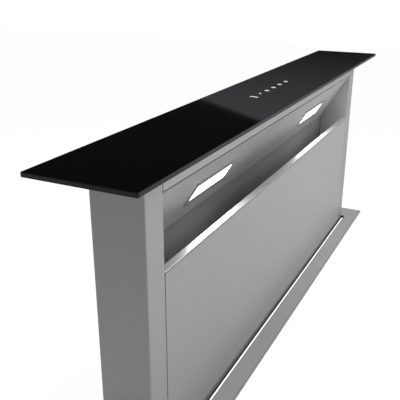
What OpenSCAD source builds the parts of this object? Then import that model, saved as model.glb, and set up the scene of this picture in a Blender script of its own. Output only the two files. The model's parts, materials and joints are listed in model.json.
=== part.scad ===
// Downdraft vent: a glass-topped column that rises out of a worktop flange, over a chassis with its lift and blower.
// Millimetres, +Z up. The origin is the middle of the flange's underside, on the worktop. The intake faces -Y.

/* [Glass top] */
// Overhang of the glass past each end of the column
glass_over_end = 55; // [20:1:90]
// Overhang of the glass in front of and behind the column
glass_over_side = 28.75; // [10:0.25:50]
// Thickness of the glass
glass_t = 4.5; // [3:0.5:8]
// Radius of the glass corners, seen from above
glass_corner_r = 2; // [1:0.5:10]
// Width of the ground arris along the glass edges
glass_arris = 0.5; // [0.2:0.1:1]

/* [Column] */
// Length of the column
column_l = 790; // [650:1:1100]
// Depth of the column, front to rear
column_d = 60; // [56:1:90]
// Height of the glass top above the flange with the column up
raised_h = 335; // [290:1:380]
// Length of the column that stays below the worktop when it is up
column_tail = 112; // [104:1:130]
// Width of the front strip of each end post
post_w = 33.4; // [26:0.1:50]
// Sheet thickness of the column's outer parts
column_t = 1.2; // [0.8:0.1:1.6]
// Height of the strip between the glass and the intake
head_h = 28.8; // [24:0.1:40]
// Gap between the lowered glass and the flange
closed_gap = 1.5; // [0.5:0.1:4]

/* [Intake] */
// Height of the intake slot
intake_h = 82.8; // [70:0.1:95]
// Depth from the column's front to the rear wall of the intake
intake_d = 49.3; // [44:0.1:54]
// Height of the slanted lamp panel
slant_h = 79.8; // [70:0.1:95]
// Bend radius where the lamp panel turns into the rear wall
crease_r = 12; // [4:1:30]
// Sheet thickness of the intake liner
liner_t = 1; // [0.8:0.1:1.5]
// Width of the open seams between visible sheets
seam = 0.8; // [0.3:0.1:1.2]

/* [Front panel] */
// Depth of the lip at the top of the front panel
lip_d = 10; // [7:0.5:14]
// Outer bend radius of the lip
lip_r = 1.5; // [1.4:0.1:3]
// Gap between the flange and the lower edge of the panel
panel_gap = 1; // [0.6:0.1:3]
// Radius of the pivot pins
pivot_r = 1.25; // [1:0.05:1.5]

/* [Lamps] */
// Distance between the two lamp centres
lamp_spacing = 404; // [300:1:500]
// Distance of the lamp centres from the top of the slanted panel
lamp_drop = 49; // [40:1:60]
// Length of a lamp bezel
bezel_l = 107; // [105:1:140]
// Width of a lamp bezel
bezel_w = 37; // [30:1:44]
// Length of a lamp lens
lens_l = 97; // [80:1:99]
// Width of a lamp lens
lens_w = 22.5; // [16:0.5:28]

/* [Grease filters] */
// Distance of the filters' rear edge below the crease of the lamp panel
filter_drop = 60; // [45:1:90]
// Thickness of a filter cassette
filter_t = 9; // [6:0.5:12]
// Width of the filter's frame
filter_frame_w = 9; // [6:1:16]

/* [Worktop flange] */
// Reach of the flange past each end of the column
flange_over_end = 47; // [35:1:70]
// Reach of the flange in front of and behind the column
flange_over_side = 31.75; // [26:0.25:50]
// Thickness of the flange
flange_t = 2; // [1:0.1:3]
// Width of the slot in front of and behind the column
slot_w = 6.5; // [5:0.1:10]
// Gap between the column's ends and the flange
end_gap = 1.2; // [0.5:0.1:3]
// Depth of the neck under the flange
neck_h = 12; // [8:0.5:16]
// Thickness of the wiper seals
wiper_t = 2.4; // [1.5:0.1:4]

/* [Chassis] */
// Free space between the column's ends and the chassis walls
end_space = 13.8; // [13.2:0.1:20]
// Free space in front of and behind the column inside the chassis
side_space = 17.3; // [12:0.1:25]
// Height of the chassis under the worktop
chassis_h = 650; // [620:1:750]
// Sheet thickness of the chassis
chassis_t = 1.2; // [0.8:0.1:1.6]
// Height of the adjustable feet
foot_h = 12; // [8:1:30]

/* [Lift] */
// Width of the guide rails
rail_w = 15; // [12:1:18]
// Height of the guide rails off the end walls
rail_h = 8; // [6:0.5:9]
// Radius of the toothed pulleys
pulley_r = 10; // [8:0.5:11]
// Teeth of each pulley
pulley_teeth = 14; // [12:1:20]
// Width of the toothed belts
belt_w = 9; // [6:1:10]
// Thickness of the toothed belts
belt_t = 1.5; // [1:0.1:2]
// Radius of the cross shaft
shaft_r = 4; // [3:0.5:5]

/* [Blower] */
// Length of the blower box
box_l = 470; // [400:1:520]
// Depth of the blower box
box_d = 210; // [205:1:260]
// Height of the blower box
box_h = 300; // [296:1:340]
// Radius of the impeller
impeller_r = 75; // [60:1:76]
// Width of the impeller
impeller_w = 80; // [60:1:84]
// Blades of the impeller
blades = 32; // [24:1:40]
// Radius of the outlet spigot
spigot_r = 75; // [60:0.5:76]
// Length of the outlet spigot
spigot_l = 50; // [40:1:70]

/* [Hidden] */
$fn = 48;

// Clearances
fit = 0.3;
run = 0.05;
overrun = 1;

// Column levels and places
glass_l = column_l + 2 * glass_over_end;
glass_d = column_d + 2 * glass_over_side;
front_y = -column_d / 2;
rear_y = column_d / 2;
glass_z = flange_t + raised_h - glass_t;
seam_z = glass_z - head_h;
panel_top_z = seam_z - intake_h;
panel_z = flange_t + panel_gap;
tail_z = -column_tail;
travel = raised_h - glass_t - closed_gap;
inner_x = column_l / 2 - post_w;
frame_x = inner_x - column_t - 2 * fit;

// Carrier and touch control under the glass
carrier_t = 1.5;
carrier_turn_h = 14;
touch_l = 186;
touch_d = 34;
board_t = 1.6;
touch_margin = 2;
cover_margin = 7;
cover_t = 1.5;
cover_h = 14;
plug_size = [16, 8, 6];
rail_turn = 10;

// End posts, rear panel and foot of the column
post_bend_r = 0.4;
post_slit = 3;
rear_turn = 7;
foot_frame_h = 20;
foot_frame_t = 3;

// Slanted panel and the crease below it
slant_inset = 0.4;
slant_top = [front_y + slant_inset, seam_z - seam];
crease = [front_y + intake_d, seam_z - slant_h];
slant_a = atan2(slant_top[1] - crease[1], crease[0] - slant_top[0]);
liner_y = crease[0];

// Lamps
bezel_t = 0.8;
bezel_body_margin = 3;
lamp_depth = 12;
lamp_wall = 1.5;
lens_recess = 0.6;
lens_t = 2;
lens_side_gap = 0.2;
lamp_board_gap = 5;
led_size = [5, 5, 1];
leds = 6;

// Front panel
panel_turn = 5.5;
lip_hem = 7;
panel_foot_turn = 5;
pivot_in = 3.2;
pivot_up = 4.2;
pivot_y = front_y + pivot_in;
pivot_z = panel_z + pivot_up;
pivot_l = 5;
pivot_head_r = 2.4;
magnet_size = [10, 8, 16];
magnet_drop = 27;
magnet_r = 3.2;
magnet_face = 0.2;

// Filters, leaning back from the ledge to the liner
filter_in = 14;
filter_up = 14;
filter_split = 4;
filter_side_gap = 5;
filter_pocket = 1.5;
filter_y = front_y + filter_in;
filter_z = panel_z + filter_up;
filter_span = intake_d - filter_in - fit;
filter_rise = crease[1] - filter_drop - filter_z;
filter_h = sqrt(filter_span * filter_span + filter_rise * filter_rise - filter_t * filter_t);
filter_lean = atan2(filter_span, filter_rise) - atan2(filter_t, filter_h);
filter_l = inner_x - filter_side_gap - filter_split / 2;
filter_columns = 12;
filter_rows = 6;
filter_bar = 3.4;
pocket_l = filter_l - 2 * filter_frame_w;
pocket_h = filter_h - 2 * filter_frame_w;
filter_step_x = (pocket_l + filter_bar) / filter_columns;
filter_step_z = (pocket_h + filter_bar) / filter_rows;
ledge_t = 1;
ledge_toe = 2;
ledge_heel = 5;
ledge_lip_h = 10;
ledge_drop = filter_t * sin(filter_lean) + ledge_t + fit;
hook_d = 12;
hook_h = 10;
handle_l = 2 * filter_step_x;
handle_h = 9;
handle_r = 1.5;

// Flange, its opening and its wipers
opening_l = column_l + 2 * end_gap;
opening_d = column_d + 2 * slot_w;
flange_l = column_l + 2 * flange_over_end;
flange_d = column_d + 2 * flange_over_side;
flange_r = 2;
neck_t = 1.5;
wiper_h = 11;
wiper_short = 13;
wiper_drop = 0.1;
wiper_lip_t = 1.2;
wiper_lip_gap = 0.5;

// Chassis
chassis_in_x = column_l / 2 + end_space;
chassis_in_y = column_d / 2 + side_space;
chassis_x = chassis_in_x + chassis_t;
chassis_y = chassis_in_y + chassis_t;
chassis_gap = 3;
chassis_top_z = -chassis_gap;
chassis_bend_r = 0.8;
end_turn = 12;
tray_h = 20;
base_z = -chassis_h;
plate_size = 176;
plate_t = 1;
bracket_t = 2;
bracket_w = 70;
bracket_leg = 26;
bracket_h = 45;
bracket_drop = 60;
bracket_z = -bracket_drop;
bracket_hole_r = 2.75;
bracket_hole_spacing = 40;
base_rail_in = 30;
base_rail_x = box_l / 2 - base_rail_in;
base_rail_w = 30;
base_rail_h = 18;
base_rail_t = 2;
base_rail_over = 4;
foot_stem_r = 4;
foot_pad_r = 16;
foot_pad_h = 6;
foot_in = 20;

// Lift: guide rails and carriages at the ends, belts beside them, one shaft across the base
rail_y_share = -0.2;
belt_y_share = 0.27;
rail_y = column_d * rail_y_share;
belt_y = column_d * belt_y_share;
belt_x = (column_l / 2 + chassis_in_x) / 2;
rail_groove = 2;
rail_top_drop = 16;
rail_top_z = -rail_top_drop;
rail_run_out = 14;
carriage_side = 7;
carriage_l = 92;
carriage_wall_gap = 3.8;
idler_drop = 26;
idler_z = -idler_drop;
idler_pin_r = 2.5;
idler_pin_head_r = 4.5;
pulley_rim = 1;
pulley_w = belt_w + 2 * pulley_rim;
idler_pin_head_t = chassis_in_x - belt_x - pulley_w / 2 - fit;
pulley_flange_t = 0.8;
tooth_depth = 1.2;
tooth_width_share = 0.5;
belt_play = 0.1;
belt_in_r = pulley_r + belt_play;
belt_out_r = belt_in_r + belt_t;
clamp_h = 30;
clamp_up = 30;
clamp_t = 2.5;
shaft_up = 20;
shaft_z = base_z + shaft_up;
shaft_end_gap = 1.2;
bearing_in = 26;
bearing_size = [20, 30];
bearing_over = 8;
gear_in = 210;
gear_x = chassis_x - gear_in;
gear_size = [46, 44, 36];
can_r = 19;
can_h = 72;
can_cap_h = 6;
can_cap_r = 15;

// Blower box, scroll and impeller; their axis runs along Y
box_t = 1;
box_y = -chassis_y;
box_z = base_z + box_h;
lid_turn = 12;
scroll_gap = 21.5;
scroll_t = 1.5;
scroll_side_gap = 7;
scroll_y = box_y - scroll_gap;
scroll_w = impeller_w + 2 * scroll_side_gap + 2 * scroll_t;
scroll_cutoff = 7;
scroll_growth = 46;
scroll_min = impeller_r + scroll_cutoff;
scroll_max = scroll_min + scroll_growth;
scroll_steps = 42;
tongue_a = 45;
top_a = -270;
spigot_clear = 3;
spigot_wall_gap = 16;
spigot_flange = 4;
spigot_t = 1.5;
spigot_z = box_z - spigot_r - spigot_flange - spigot_clear;
duct_mid = (scroll_max + scroll_min * sin(tongue_a)) / 2;
blower_z = spigot_z - duct_mid;
spigot_y = box_y - spigot_r - spigot_wall_gap;
inlet_inset = 13;
inlet_r = impeller_r - inlet_inset;
inlet_wide = 11;
inlet_flange = 8;
inlet_dip = 4;
inlet_t = 1;
blade_l = 12;
blade_r = impeller_r - blade_l;
blade_t = 1;
blade_inset = 0.6;
blade_sweep = 24;
blade_steps = 4;
impeller_disc_t = 2;
impeller_ring_t = 4;
impeller_ring_w = 6;
impeller_gap = 3;
hub_r = 13;
hub_l = 26;
motor_shaft_r = 4;
motor_r = 46;
motor_l = 62;
motor_flange_r = 50;
motor_flange_t = 4;
motor_hole_r = 40;
motor_boss_r = 18;
motor_boss_l = 8;
mount_plate_r = 62;
mount_plate_t = 2.5;
mount_window_r = 7;
mount_windows = 6;
motor_fins = 12;
motor_fin = [3, 3];
screw_head_r = 4;
screw_head_h = 2.2;
screw_r = 1.9;
screw_l = 8;
screw_in = 8;
screw_columns = 4;

// Outlet flaps on a vertical pin
flap_in = 14;
flap_x = box_l / 2 + flap_in;
flap_pin_r = 2;
knuckle_r = 4;
knuckles = 3;
flap_t = 1.2;
flap_gap = 1.2;
flap_start = 4.6;
seat_w = 3.5;
seat_t = 1.8;
seat_gap = 0.2;

// Control box
control_gap = 25;
control_edge = 20;
control_size = [chassis_x - control_edge - control_gap - box_l / 2, 50, 150];
control_x = control_edge + control_size[0] / 2 - chassis_x;
control_up = 95;
control_z = base_z + control_up;
control_t = 2;
control_lid_t = 2;
control_r = 4;
gland_r = 9;
gland_nut_r = 11;
gland_nut_h = 6;
gland_l = 16;
gland_bore_r = 3.5;

// Vectors in the plane
function unit(v) = v / norm(v);
function left_of(v) = [-v[1], v[0]];
function turned(v, a) = [v[0] * cos(a) - v[1] * sin(a), v[0] * sin(a) + v[1] * cos(a)];
function reversed(p) = [for (i = [len(p) - 1:-1:0]) p[i]];

// Points round bend i of path p on the side of the sheet that lies at distance side from the path
function bend(p, i, side, r, t, steps) =
    let (d1 = unit(p[i] - p[i - 1]), d2 = unit(p[i + 1] - p[i]))
    let (a = atan2(d1[0] * d2[1] - d1[1] * d2[0], d1 * d2))
    let (way = sign(a), path_r = r + (way > 0 ? t : 0))
    let (c = p[i] - d1 * path_r * tan(abs(a) / 2) + left_of(d1) * way * path_r)
    [for (k = [0:steps]) c + turned(-way * left_of(d1), a * k / steps) * (path_r - way * side)];

// One face of a folded sheet
function face_of(p, side, r, t, steps) =
    let (n = len(p) - 1)
    concat(
        [p[0] + left_of(unit(p[1] - p[0])) * side],
        [for (i = [1:n - 1]) each bend(p, i, side, r, t, steps)],
        [p[n] + left_of(unit(p[n] - p[n - 1])) * side]
    );

// Section of a sheet of thickness t folded along path p, which is its right-hand face; r is the inner bend radius
module folded(p, t, r, steps = 6) {
    polygon(concat(face_of(p, 0, r, t, steps), reversed(face_of(p, t, r, t, steps))));
}

// A section in (Y, Z), drawn out along X and centred
module along_x(l) {
    translate([-l / 2, 0, 0])
        rotate([90, 0, 90])
            linear_extrude(l) children();
}

// A section in (X, Z), drawn out from y towards the front
module forward(y, l) {
    translate([0, y, 0])
        rotate([90, 0, 0])
            linear_extrude(l) children();
}

// A section in (X, Z) round the blower's axis
module blower_section(y, l) {
    translate([0, 0, blower_z])
        forward(y, l) children();
}

// A box from its middle in X, its nearest Y and its lowest Z
module block(size, at) {
    translate([at[0] - size[0] / 2, at[1], at[2]])
        cube(size);
}

module rounded(l, d, r) {
    square([l - 2 * r, d], center = true);
    square([l, d - 2 * r], center = true);
    for (x = [-1, 1], y = [-1, 1])
        translate([x * (l / 2 - r), y * (d / 2 - r)])
            circle(r);
}

module both_ends() {
    children();
    mirror([1, 0, 0]) children();
}

// Glass and what lies under it

module glass_top() {
    color("#101012")
        translate([0, 0, glass_z])
            hull() {
                translate([0, 0, glass_arris])
                    linear_extrude(glass_t - 2 * glass_arris)
                        rounded(glass_l, glass_d, glass_corner_r, $fn = 32);
                linear_extrude(glass_t)
                    rounded(glass_l - 2 * glass_arris, glass_d - 2 * glass_arris, glass_corner_r, $fn = 32);
            }
}

module glass_carrier() {
    half = column_d / 2 - column_t;
    low = glass_z - carrier_turn_h;
    color("silver")
        difference() {
            along_x(2 * frame_x)
                folded([[half, low], [half, glass_z], [-half, glass_z], [-half, low]], carrier_t, post_bend_r);
            block(
                [touch_l + 2 * touch_margin, touch_d + 2 * touch_margin, 2 * carrier_t],
                [0, -touch_d / 2 - touch_margin, glass_z - 1.5 * carrier_t]
            );
        }
}

module touch_board() {
    color("darkgreen") {
        block([touch_l, touch_d, board_t], [0, -touch_d / 2, glass_z - board_t]);
        block(plug_size, [touch_l / 4, 0, glass_z - board_t - plug_size[2]]);
    }
}

module touch_cover() {
    l = touch_l + 2 * cover_margin;
    d = touch_d + 2 * cover_margin;
    top = glass_z - carrier_t;
    color("dimgray")
        difference() {
            block([l, d, cover_h], [0, -d / 2, top - cover_h]);
            block([l - 2 * cover_t, d - 2 * cover_t, cover_h], [0, -d / 2 + cover_t, top - cover_h + cover_t]);
        }
}

module head_rail() {
    color("#b4b5b8")
        along_x(2 * inner_x - seam)
            folded([[front_y, glass_z], [front_y, seam_z], [front_y + rail_turn, seam_z]], column_t, post_bend_r);
}

// Column

module end_post() {
    path = [
        [inner_x, rear_y - post_slit - column_t], [inner_x, front_y], [column_l / 2, front_y],
        [column_l / 2, rear_y], [inner_x, rear_y]
    ];
    translate([0, 0, tail_z])
        linear_extrude(glass_z - tail_z)
            folded(path, column_t, post_bend_r);
}

module end_post_right() {
    color("#a9aaad") end_post();
}

module end_post_left() {
    color("#a9aaad") mirror([1, 0, 0]) end_post();
}

module rear_panel() {
    x = inner_x - fit;
    path = [[x, rear_y - rear_turn], [x, rear_y], [-x, rear_y], [-x, rear_y - rear_turn]];
    color("#a4a5a8")
        translate([0, 0, tail_z])
            linear_extrude(glass_z - tail_z)
                folded(path, column_t, post_bend_r);
}

// Places its children on the slanted panel: +Y runs down the slant and +Z goes in behind it
module on_slant(x, drop) {
    translate([x, slant_top[0], slant_top[1]])
        rotate([-slant_a, 0, 0])
            translate([0, drop, 0]) children();
}

module at_lamps() {
    for (side = [-1, 1])
        on_slant(side * lamp_spacing / 2, lamp_drop) children();
}

// A plate on the slant from depth z0 behind the panel's face
module slant_plate(l, w, t, z0) {
    translate([-l / 2, -w / 2, z0])
        cube([l, w, t]);
}

module intake_liner() {
    color("#9b9ca0")
        difference() {
            along_x(2 * (inner_x - fit))
                folded([slant_top, crease, [liner_y, tail_z + foot_frame_h]], liner_t, crease_r, 12);
            at_lamps()
                slant_plate(
                    bezel_l - 2 * bezel_body_margin + 2 * fit, bezel_w - 2 * bezel_body_margin + 2 * fit,
                    2 * overrun + liner_t, -overrun
                );
        }
}

module lower_front() {
    color("#a9aaad")
        block([2 * inner_x, column_t, flange_t - fit - tail_z], [0, front_y, tail_z]);
}

module column_foot() {
    outer_d = column_d - 2 * column_t;
    color("silver")
        difference() {
            block([2 * frame_x, outer_d, foot_frame_h], [0, -outer_d / 2, tail_z]);
            block(
                [2 * (frame_x - foot_frame_t), liner_y + outer_d / 2 - foot_frame_t, foot_frame_h + 2 * overrun],
                [0, -outer_d / 2 + foot_frame_t, tail_z - overrun]
            );
        }
}

// Lamps: a flush bezel with a body behind the panel, a recessed lens and a board with light-emitting chips

module lamp_bezel(side) {
    body_l = bezel_l - 2 * bezel_body_margin;
    body_w = bezel_w - 2 * bezel_body_margin;
    on_slant(side * lamp_spacing / 2, lamp_drop)
        difference() {
            union() {
                slant_plate(bezel_l, bezel_w, bezel_t, -bezel_t);
                slant_plate(body_l, body_w, lamp_depth + bezel_t, -bezel_t);
            }
            slant_plate(lens_l, lens_w, lamp_depth + overrun, -bezel_t - overrun);
            slant_plate(
                body_l - 2 * lamp_wall, body_w - 2 * lamp_wall, lamp_depth,
                -bezel_t + lens_recess + lens_t
            );
        }
}

module lamp_bezel_left() {
    color("#8f8d88") lamp_bezel(-1);
}

module lamp_bezel_right() {
    color("#8f8d88") lamp_bezel(1);
}

module lamp_lens(side) {
    on_slant(side * lamp_spacing / 2, lamp_drop)
        slant_plate(lens_l - 2 * lens_side_gap, lens_w - 2 * lens_side_gap, lens_t, -bezel_t + lens_recess);
}

module lamp_lens_left() {
    color("white") lamp_lens(-1);
}

module lamp_lens_right() {
    color("white") lamp_lens(1);
}

module lamp_boards() {
    board_l = bezel_l - 2 * bezel_body_margin - 2 * lamp_wall;
    board_w = bezel_w - 2 * bezel_body_margin - 2 * lamp_wall;
    depth = -bezel_t + lens_recess + lens_t + lamp_board_gap;
    color("ivory")
        at_lamps() {
            slant_plate(board_l, board_w, board_t, depth);
            for (i = [0:leds - 1])
                translate([(i - (leds - 1) / 2) * lens_l / leds, 0, 0])
                    slant_plate(led_size[0], led_size[1], led_size[2], depth - led_size[2]);
        }
}

// Grease filters behind the front panel

module on_filter(side) {
    translate([side * (filter_split / 2 + filter_l / 2), filter_y, filter_z])
        rotate([-filter_lean, 0, 0]) children();
}

// A cassette: a frame round a grid of open cells, set back from both faces
module filter(side) {
    on_filter(side)
        difference() {
            block([filter_l, filter_t, filter_h], [0, 0, 0]);
            block([pocket_l, filter_pocket + overrun, pocket_h], [0, -overrun, filter_frame_w]);
            block([pocket_l, filter_pocket + overrun, pocket_h], [0, filter_t - filter_pocket, filter_frame_w]);
            for (i = [0:filter_columns - 1], k = [0:filter_rows - 1])
                block(
                    [filter_step_x - filter_bar, filter_t + 2 * overrun, filter_step_z - filter_bar],
                    [(2 * i + 1 - filter_columns) * filter_step_x / 2, -overrun, filter_frame_w + k * filter_step_z]
                );
        }
}

module filter_left() {
    color("gainsboro") filter(-1);
}

module filter_right() {
    color("gainsboro") filter(1);
}

module filter_handles() {
    color("gray")
        for (side = [-1, 1])
            on_filter(side)
                translate([0, filter_pocket, filter_h / 2]) {
                    for (x = [-1, 1])
                        translate([x * handle_l / 2, 0, 0])
                            rotate([90, 0, 0])
                                cylinder(r = handle_r, h = handle_h);
                    translate([-handle_l / 2 - handle_r, -handle_h, 0])
                        rotate([0, 90, 0])
                            cylinder(r = handle_r, h = handle_l + 2 * handle_r);
                }
}

module filter_ledges() {
    toe = filter_y - ledge_toe - ledge_t;
    heel = filter_y + filter_t + ledge_heel;
    low = filter_z - ledge_drop;
    hook = filter_z + filter_h * cos(filter_lean) + fit;
    color("silver")
        along_x(2 * inner_x) {
            folded([[toe, low + ledge_lip_h], [toe, low], [heel, low], [heel, low + ledge_lip_h]], ledge_t, post_bend_r);
            folded([[liner_y - hook_d, hook], [liner_y, hook], [liner_y, hook + hook_h]], ledge_t, post_bend_r);
        }
}

// Front panel, its pivots and its magnets

module front_panel() {
    l = 2 * (inner_x - seam);
    top = panel_top_z;
    path = [
        [front_y + lip_d, top - lip_hem], [front_y + lip_d, top], [front_y, top],
        [front_y, panel_z], [front_y + panel_foot_turn, panel_z]
    ];
    color("#a9aaad")
        difference() {
            union() {
                along_x(l) folded(path, column_t, lip_r - column_t, 8);
                for (side = [-1, 1])
                    block(
                        [column_t, panel_turn - column_t / 2, top - panel_z - column_t],
                        [side * (l - column_t) / 2, front_y + column_t / 2, panel_z + column_t / 2]
                    );
            }
            translate([-l, pivot_y, pivot_z])
                rotate([0, 90, 0])
                    cylinder(r = pivot_r + run, h = 2 * l);
        }
}

module panel_pivots() {
    color("gray")
        for (side = [-1, 1])
            translate([side * inner_x, pivot_y, pivot_z])
                rotate([0, -side * 90, 0])
                    cylinder(r = pivot_r, h = pivot_l);
}

module panel_magnets() {
    z = panel_top_z - magnet_drop;
    y = front_y + panel_turn + fit;
    color("dimgray")
        for (side = [-1, 1]) {
            block(magnet_size, [side * (inner_x - magnet_size[0] / 2), y, z]);
            translate([side * (inner_x - magnet_size[0] / 2), y, z + magnet_size[2] / 2])
                rotate([90, 0, 0])
                    cylinder(r = magnet_r, h = magnet_face);
        }
}

// Worktop flange and wipers

module worktop_flange() {
    color("#8e8e94")
        difference() {
            union() {
                linear_extrude(flange_t)
                    rounded(flange_l, flange_d, flange_r);
                block(
                    [opening_l + 2 * neck_t, opening_d + 2 * neck_t, neck_h + flange_t / 2],
                    [0, -opening_d / 2 - neck_t, -neck_h]
                );
            }
            block([opening_l, opening_d, neck_h + flange_t + 2 * overrun], [0, -opening_d / 2, -neck_h - overrun]);
        }
}

module wiper() {
    seat = -opening_d / 2 + fit;
    top = flange_t - wiper_drop;
    tip = front_y - wiper_lip_gap;
    along_x(opening_l - 2 * wiper_short) {
        translate([seat, top - wiper_h])
            square([wiper_t, wiper_h]);
        translate([seat, top - wiper_h])
            square([tip - seat, wiper_lip_t]);
    }
}

module wiper_seals() {
    color("whitesmoke") {
        wiper();
        mirror([0, 1, 0]) wiper();
    }
}

// Chassis

module chassis_side() {
    neck_y = -opening_d / 2 - neck_t;
    along_x(2 * chassis_x)
        folded(
            [[neck_y, chassis_top_z], [-chassis_y, chassis_top_z], [-chassis_y, base_z]],
            chassis_t, chassis_bend_r
        );
}

module blower_opening(y) {
    blower_section(y, chassis_t + 2 * overrun)
        circle(inlet_r + inlet_wide);
}

module chassis_front() {
    color("lightgray")
        difference() {
            chassis_side();
            blower_opening(-chassis_y + chassis_t + overrun);
        }
}

module chassis_rear() {
    color("lightgray")
        difference() {
            mirror([0, 1, 0]) chassis_side();
            blower_opening(chassis_y + overrun);
        }
}

module chassis_end() {
    x = chassis_x;
    y = chassis_in_y;
    translate([0, 0, base_z])
        linear_extrude(chassis_top_z - chassis_t - base_z)
            folded([[x - end_turn, -y], [x, -y], [x, y], [x - end_turn, y]], chassis_t, chassis_bend_r);
}

module chassis_end_right() {
    color("lightgray") chassis_end();
}

module chassis_end_left() {
    color("lightgray") mirror([1, 0, 0]) chassis_end();
}

module chassis_base() {
    y = chassis_in_y - chassis_t;
    color("lightgray")
        along_x(2 * chassis_in_x)
            folded(
                [[-y, base_z + tray_h], [-y, base_z], [y, base_z], [y, base_z + tray_h]],
                chassis_t, chassis_bend_r
            );
}

module blanking_plate() {
    color("silver")
        translate([0, chassis_y + plate_t, blower_z])
            rotate([90, 0, 0])
                linear_extrude(plate_t)
                    rounded(plate_size, plate_size, flange_r);
}

module fixing_bracket() {
    x = chassis_x;
    low = bracket_z - bracket_h;
    difference() {
        translate([0, -bracket_w / 2, 0])
            mirror([0, 1, 0])
                forward(0, bracket_w)
                    folded([[x + bracket_leg, bracket_z], [x, bracket_z], [x, low]], bracket_t, chassis_bend_r);
        for (side = [-1, 1])
            translate([x + bracket_leg / 2 + bracket_t / 2, side * bracket_hole_spacing / 2, bracket_z - bracket_t - overrun])
                cylinder(r = bracket_hole_r, h = bracket_t + 2 * overrun);
    }
}

module fixing_brackets() {
    color("silver") both_ends() fixing_bracket();
}

module base_rails() {
    x = base_rail_x;
    half = base_rail_w / 2;
    front = box_y - box_d + base_rail_over;
    length = chassis_y - front;
    color("silver")
        difference() {
            for (side = [-1, 1])
                translate([side * x, 0, 0])
                    forward(chassis_y, length)
                        folded(
                            [
                                [half, base_z - base_rail_h], [half, base_z],
                                [-half, base_z], [-half, base_z - base_rail_h]
                            ],
                            base_rail_t, chassis_bend_r
                        );
            at_feet() cylinder(r = foot_stem_r + run, h = base_rail_h + 2 * foot_h, center = true);
        }
}

// Places its children at the top of the base rails, over each foot
module at_feet() {
    for (side = [-1, 1], y = [box_y - box_d + base_rail_over + foot_in, chassis_y - foot_in])
        translate([side * base_rail_x, y, base_z]) children();
}

module feet() {
    drop = base_rail_h + foot_h;
    color("dimgray")
        at_feet()
            translate([0, 0, -drop]) {
                cylinder(r = foot_pad_r, h = foot_pad_h);
                cylinder(r = foot_stem_r, h = drop);
                translate([0, 0, drop - base_rail_t - foot_pad_h])
                    cylinder(r = 2 * foot_stem_r, h = foot_pad_h, $fn = 6);
            }
}

// Lift

module guide_rail() {
    low = tail_z - travel - rail_run_out;
    translate([0, 0, low])
        linear_extrude(rail_top_z - low)
            difference() {
                translate([chassis_in_x - rail_h, rail_y - rail_w / 2])
                    square([rail_h, rail_w]);
                for (side = [-1, 1])
                    translate([chassis_in_x - rail_h / 2, rail_y + side * rail_w / 2])
                        circle(rail_groove / 2);
            }
}

module guide_rails() {
    color("silver") both_ends() guide_rail();
}

module guide_carriage() {
    depth = end_space - carriage_wall_gap;
    translate([0, 0, tail_z])
        linear_extrude(carriage_l)
            difference() {
                translate([column_l / 2, rail_y - rail_w / 2 - carriage_side])
                    square([depth, rail_w + 2 * carriage_side]);
                translate([chassis_in_x - rail_h - fit, rail_y - rail_w / 2 - fit])
                    square([rail_h, rail_w + 2 * fit]);
            }
}

module guide_carriages() {
    color("dimgray") both_ends() guide_carriage();
}

// A jaw behind the belt's front strand, joined to the carriage past the belt's edge
module belt_clamp() {
    strand = belt_y - belt_in_r;
    jaw_y = strand + belt_play;
    start = rail_y + rail_w / 2 + carriage_side;
    reach = belt_x + belt_w / 2 - column_l / 2;
    edge = belt_x - belt_w / 2 - belt_play - column_l / 2;
    translate([column_l / 2, 0, tail_z + clamp_up])
        linear_extrude(clamp_h) {
            translate([0, start])
                square([edge, jaw_y + clamp_t - start]);
            translate([0, jaw_y])
                square([reach, clamp_t]);
        }
}

module belt_clamps() {
    color("silver") both_ends() belt_clamp();
}

// Section of a toothed pulley
module pulley_section() {
    root = pulley_r - tooth_depth;
    circle(root);
    for (i = [0:pulley_teeth - 1])
        rotate(i * 360 / pulley_teeth)
            translate([0, -PI * pulley_r / pulley_teeth * tooth_width_share])
                square([pulley_r * cos(180 / pulley_teeth * tooth_width_share), 2 * PI * pulley_r / pulley_teeth * tooth_width_share]);
}

// A pulley on its X axis, centred on the belt, with a bore and a thin flange at each side
module pulley(bore) {
    translate([belt_x - pulley_w / 2, 0, 0])
        rotate([90, 0, 90])
            difference() {
                union() {
                    linear_extrude(pulley_w) pulley_section();
                    for (z = [0, pulley_w - pulley_flange_t])
                        translate([0, 0, z])
                            cylinder(r = pulley_r + belt_t, h = pulley_flange_t);
                }
                translate([0, 0, -overrun])
                    cylinder(r = bore, h = pulley_w + 2 * overrun);
            }
}

module idler() {
    translate([0, belt_y, idler_z])
        pulley(idler_pin_r + run);
}

module idler_right() {
    color("gray") idler();
}

module idler_left() {
    color("gray") mirror([1, 0, 0]) idler();
}

module idler_pins() {
    low = belt_x - pulley_w / 2 - fit;
    color("silver")
        both_ends()
            translate([low, belt_y, idler_z])
                rotate([0, 90, 0]) {
                    cylinder(r = idler_pin_r, h = chassis_in_x - low);
                    translate([0, 0, chassis_in_x - low - idler_pin_head_t])
                        cylinder(r = idler_pin_head_r, h = idler_pin_head_t);
                }
}

module belt_loop(r) {
    for (z = [idler_z, shaft_z])
        translate([belt_y, z])
            circle(r);
    translate([belt_y - r, shaft_z])
        square([2 * r, idler_z - shaft_z]);
}

module toothed_belts() {
    color("#202020")
        both_ends()
            translate([belt_x, 0, 0])
                along_x(belt_w - 2 * belt_play)
                    difference() {
                        belt_loop(belt_out_r);
                        belt_loop(belt_in_r);
                    }
}

module cross_shaft() {
    l = 2 * (chassis_in_x - shaft_end_gap);
    color("silver")
        translate([-l / 2, belt_y, shaft_z])
            rotate([0, 90, 0])
                cylinder(r = shaft_r, h = l);
}

module drive_pulley() {
    translate([0, belt_y, shaft_z])
        pulley(shaft_r);
}

module drive_pulley_right() {
    color("gray") drive_pulley();
}

module drive_pulley_left() {
    color("gray") mirror([1, 0, 0]) drive_pulley();
}

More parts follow.
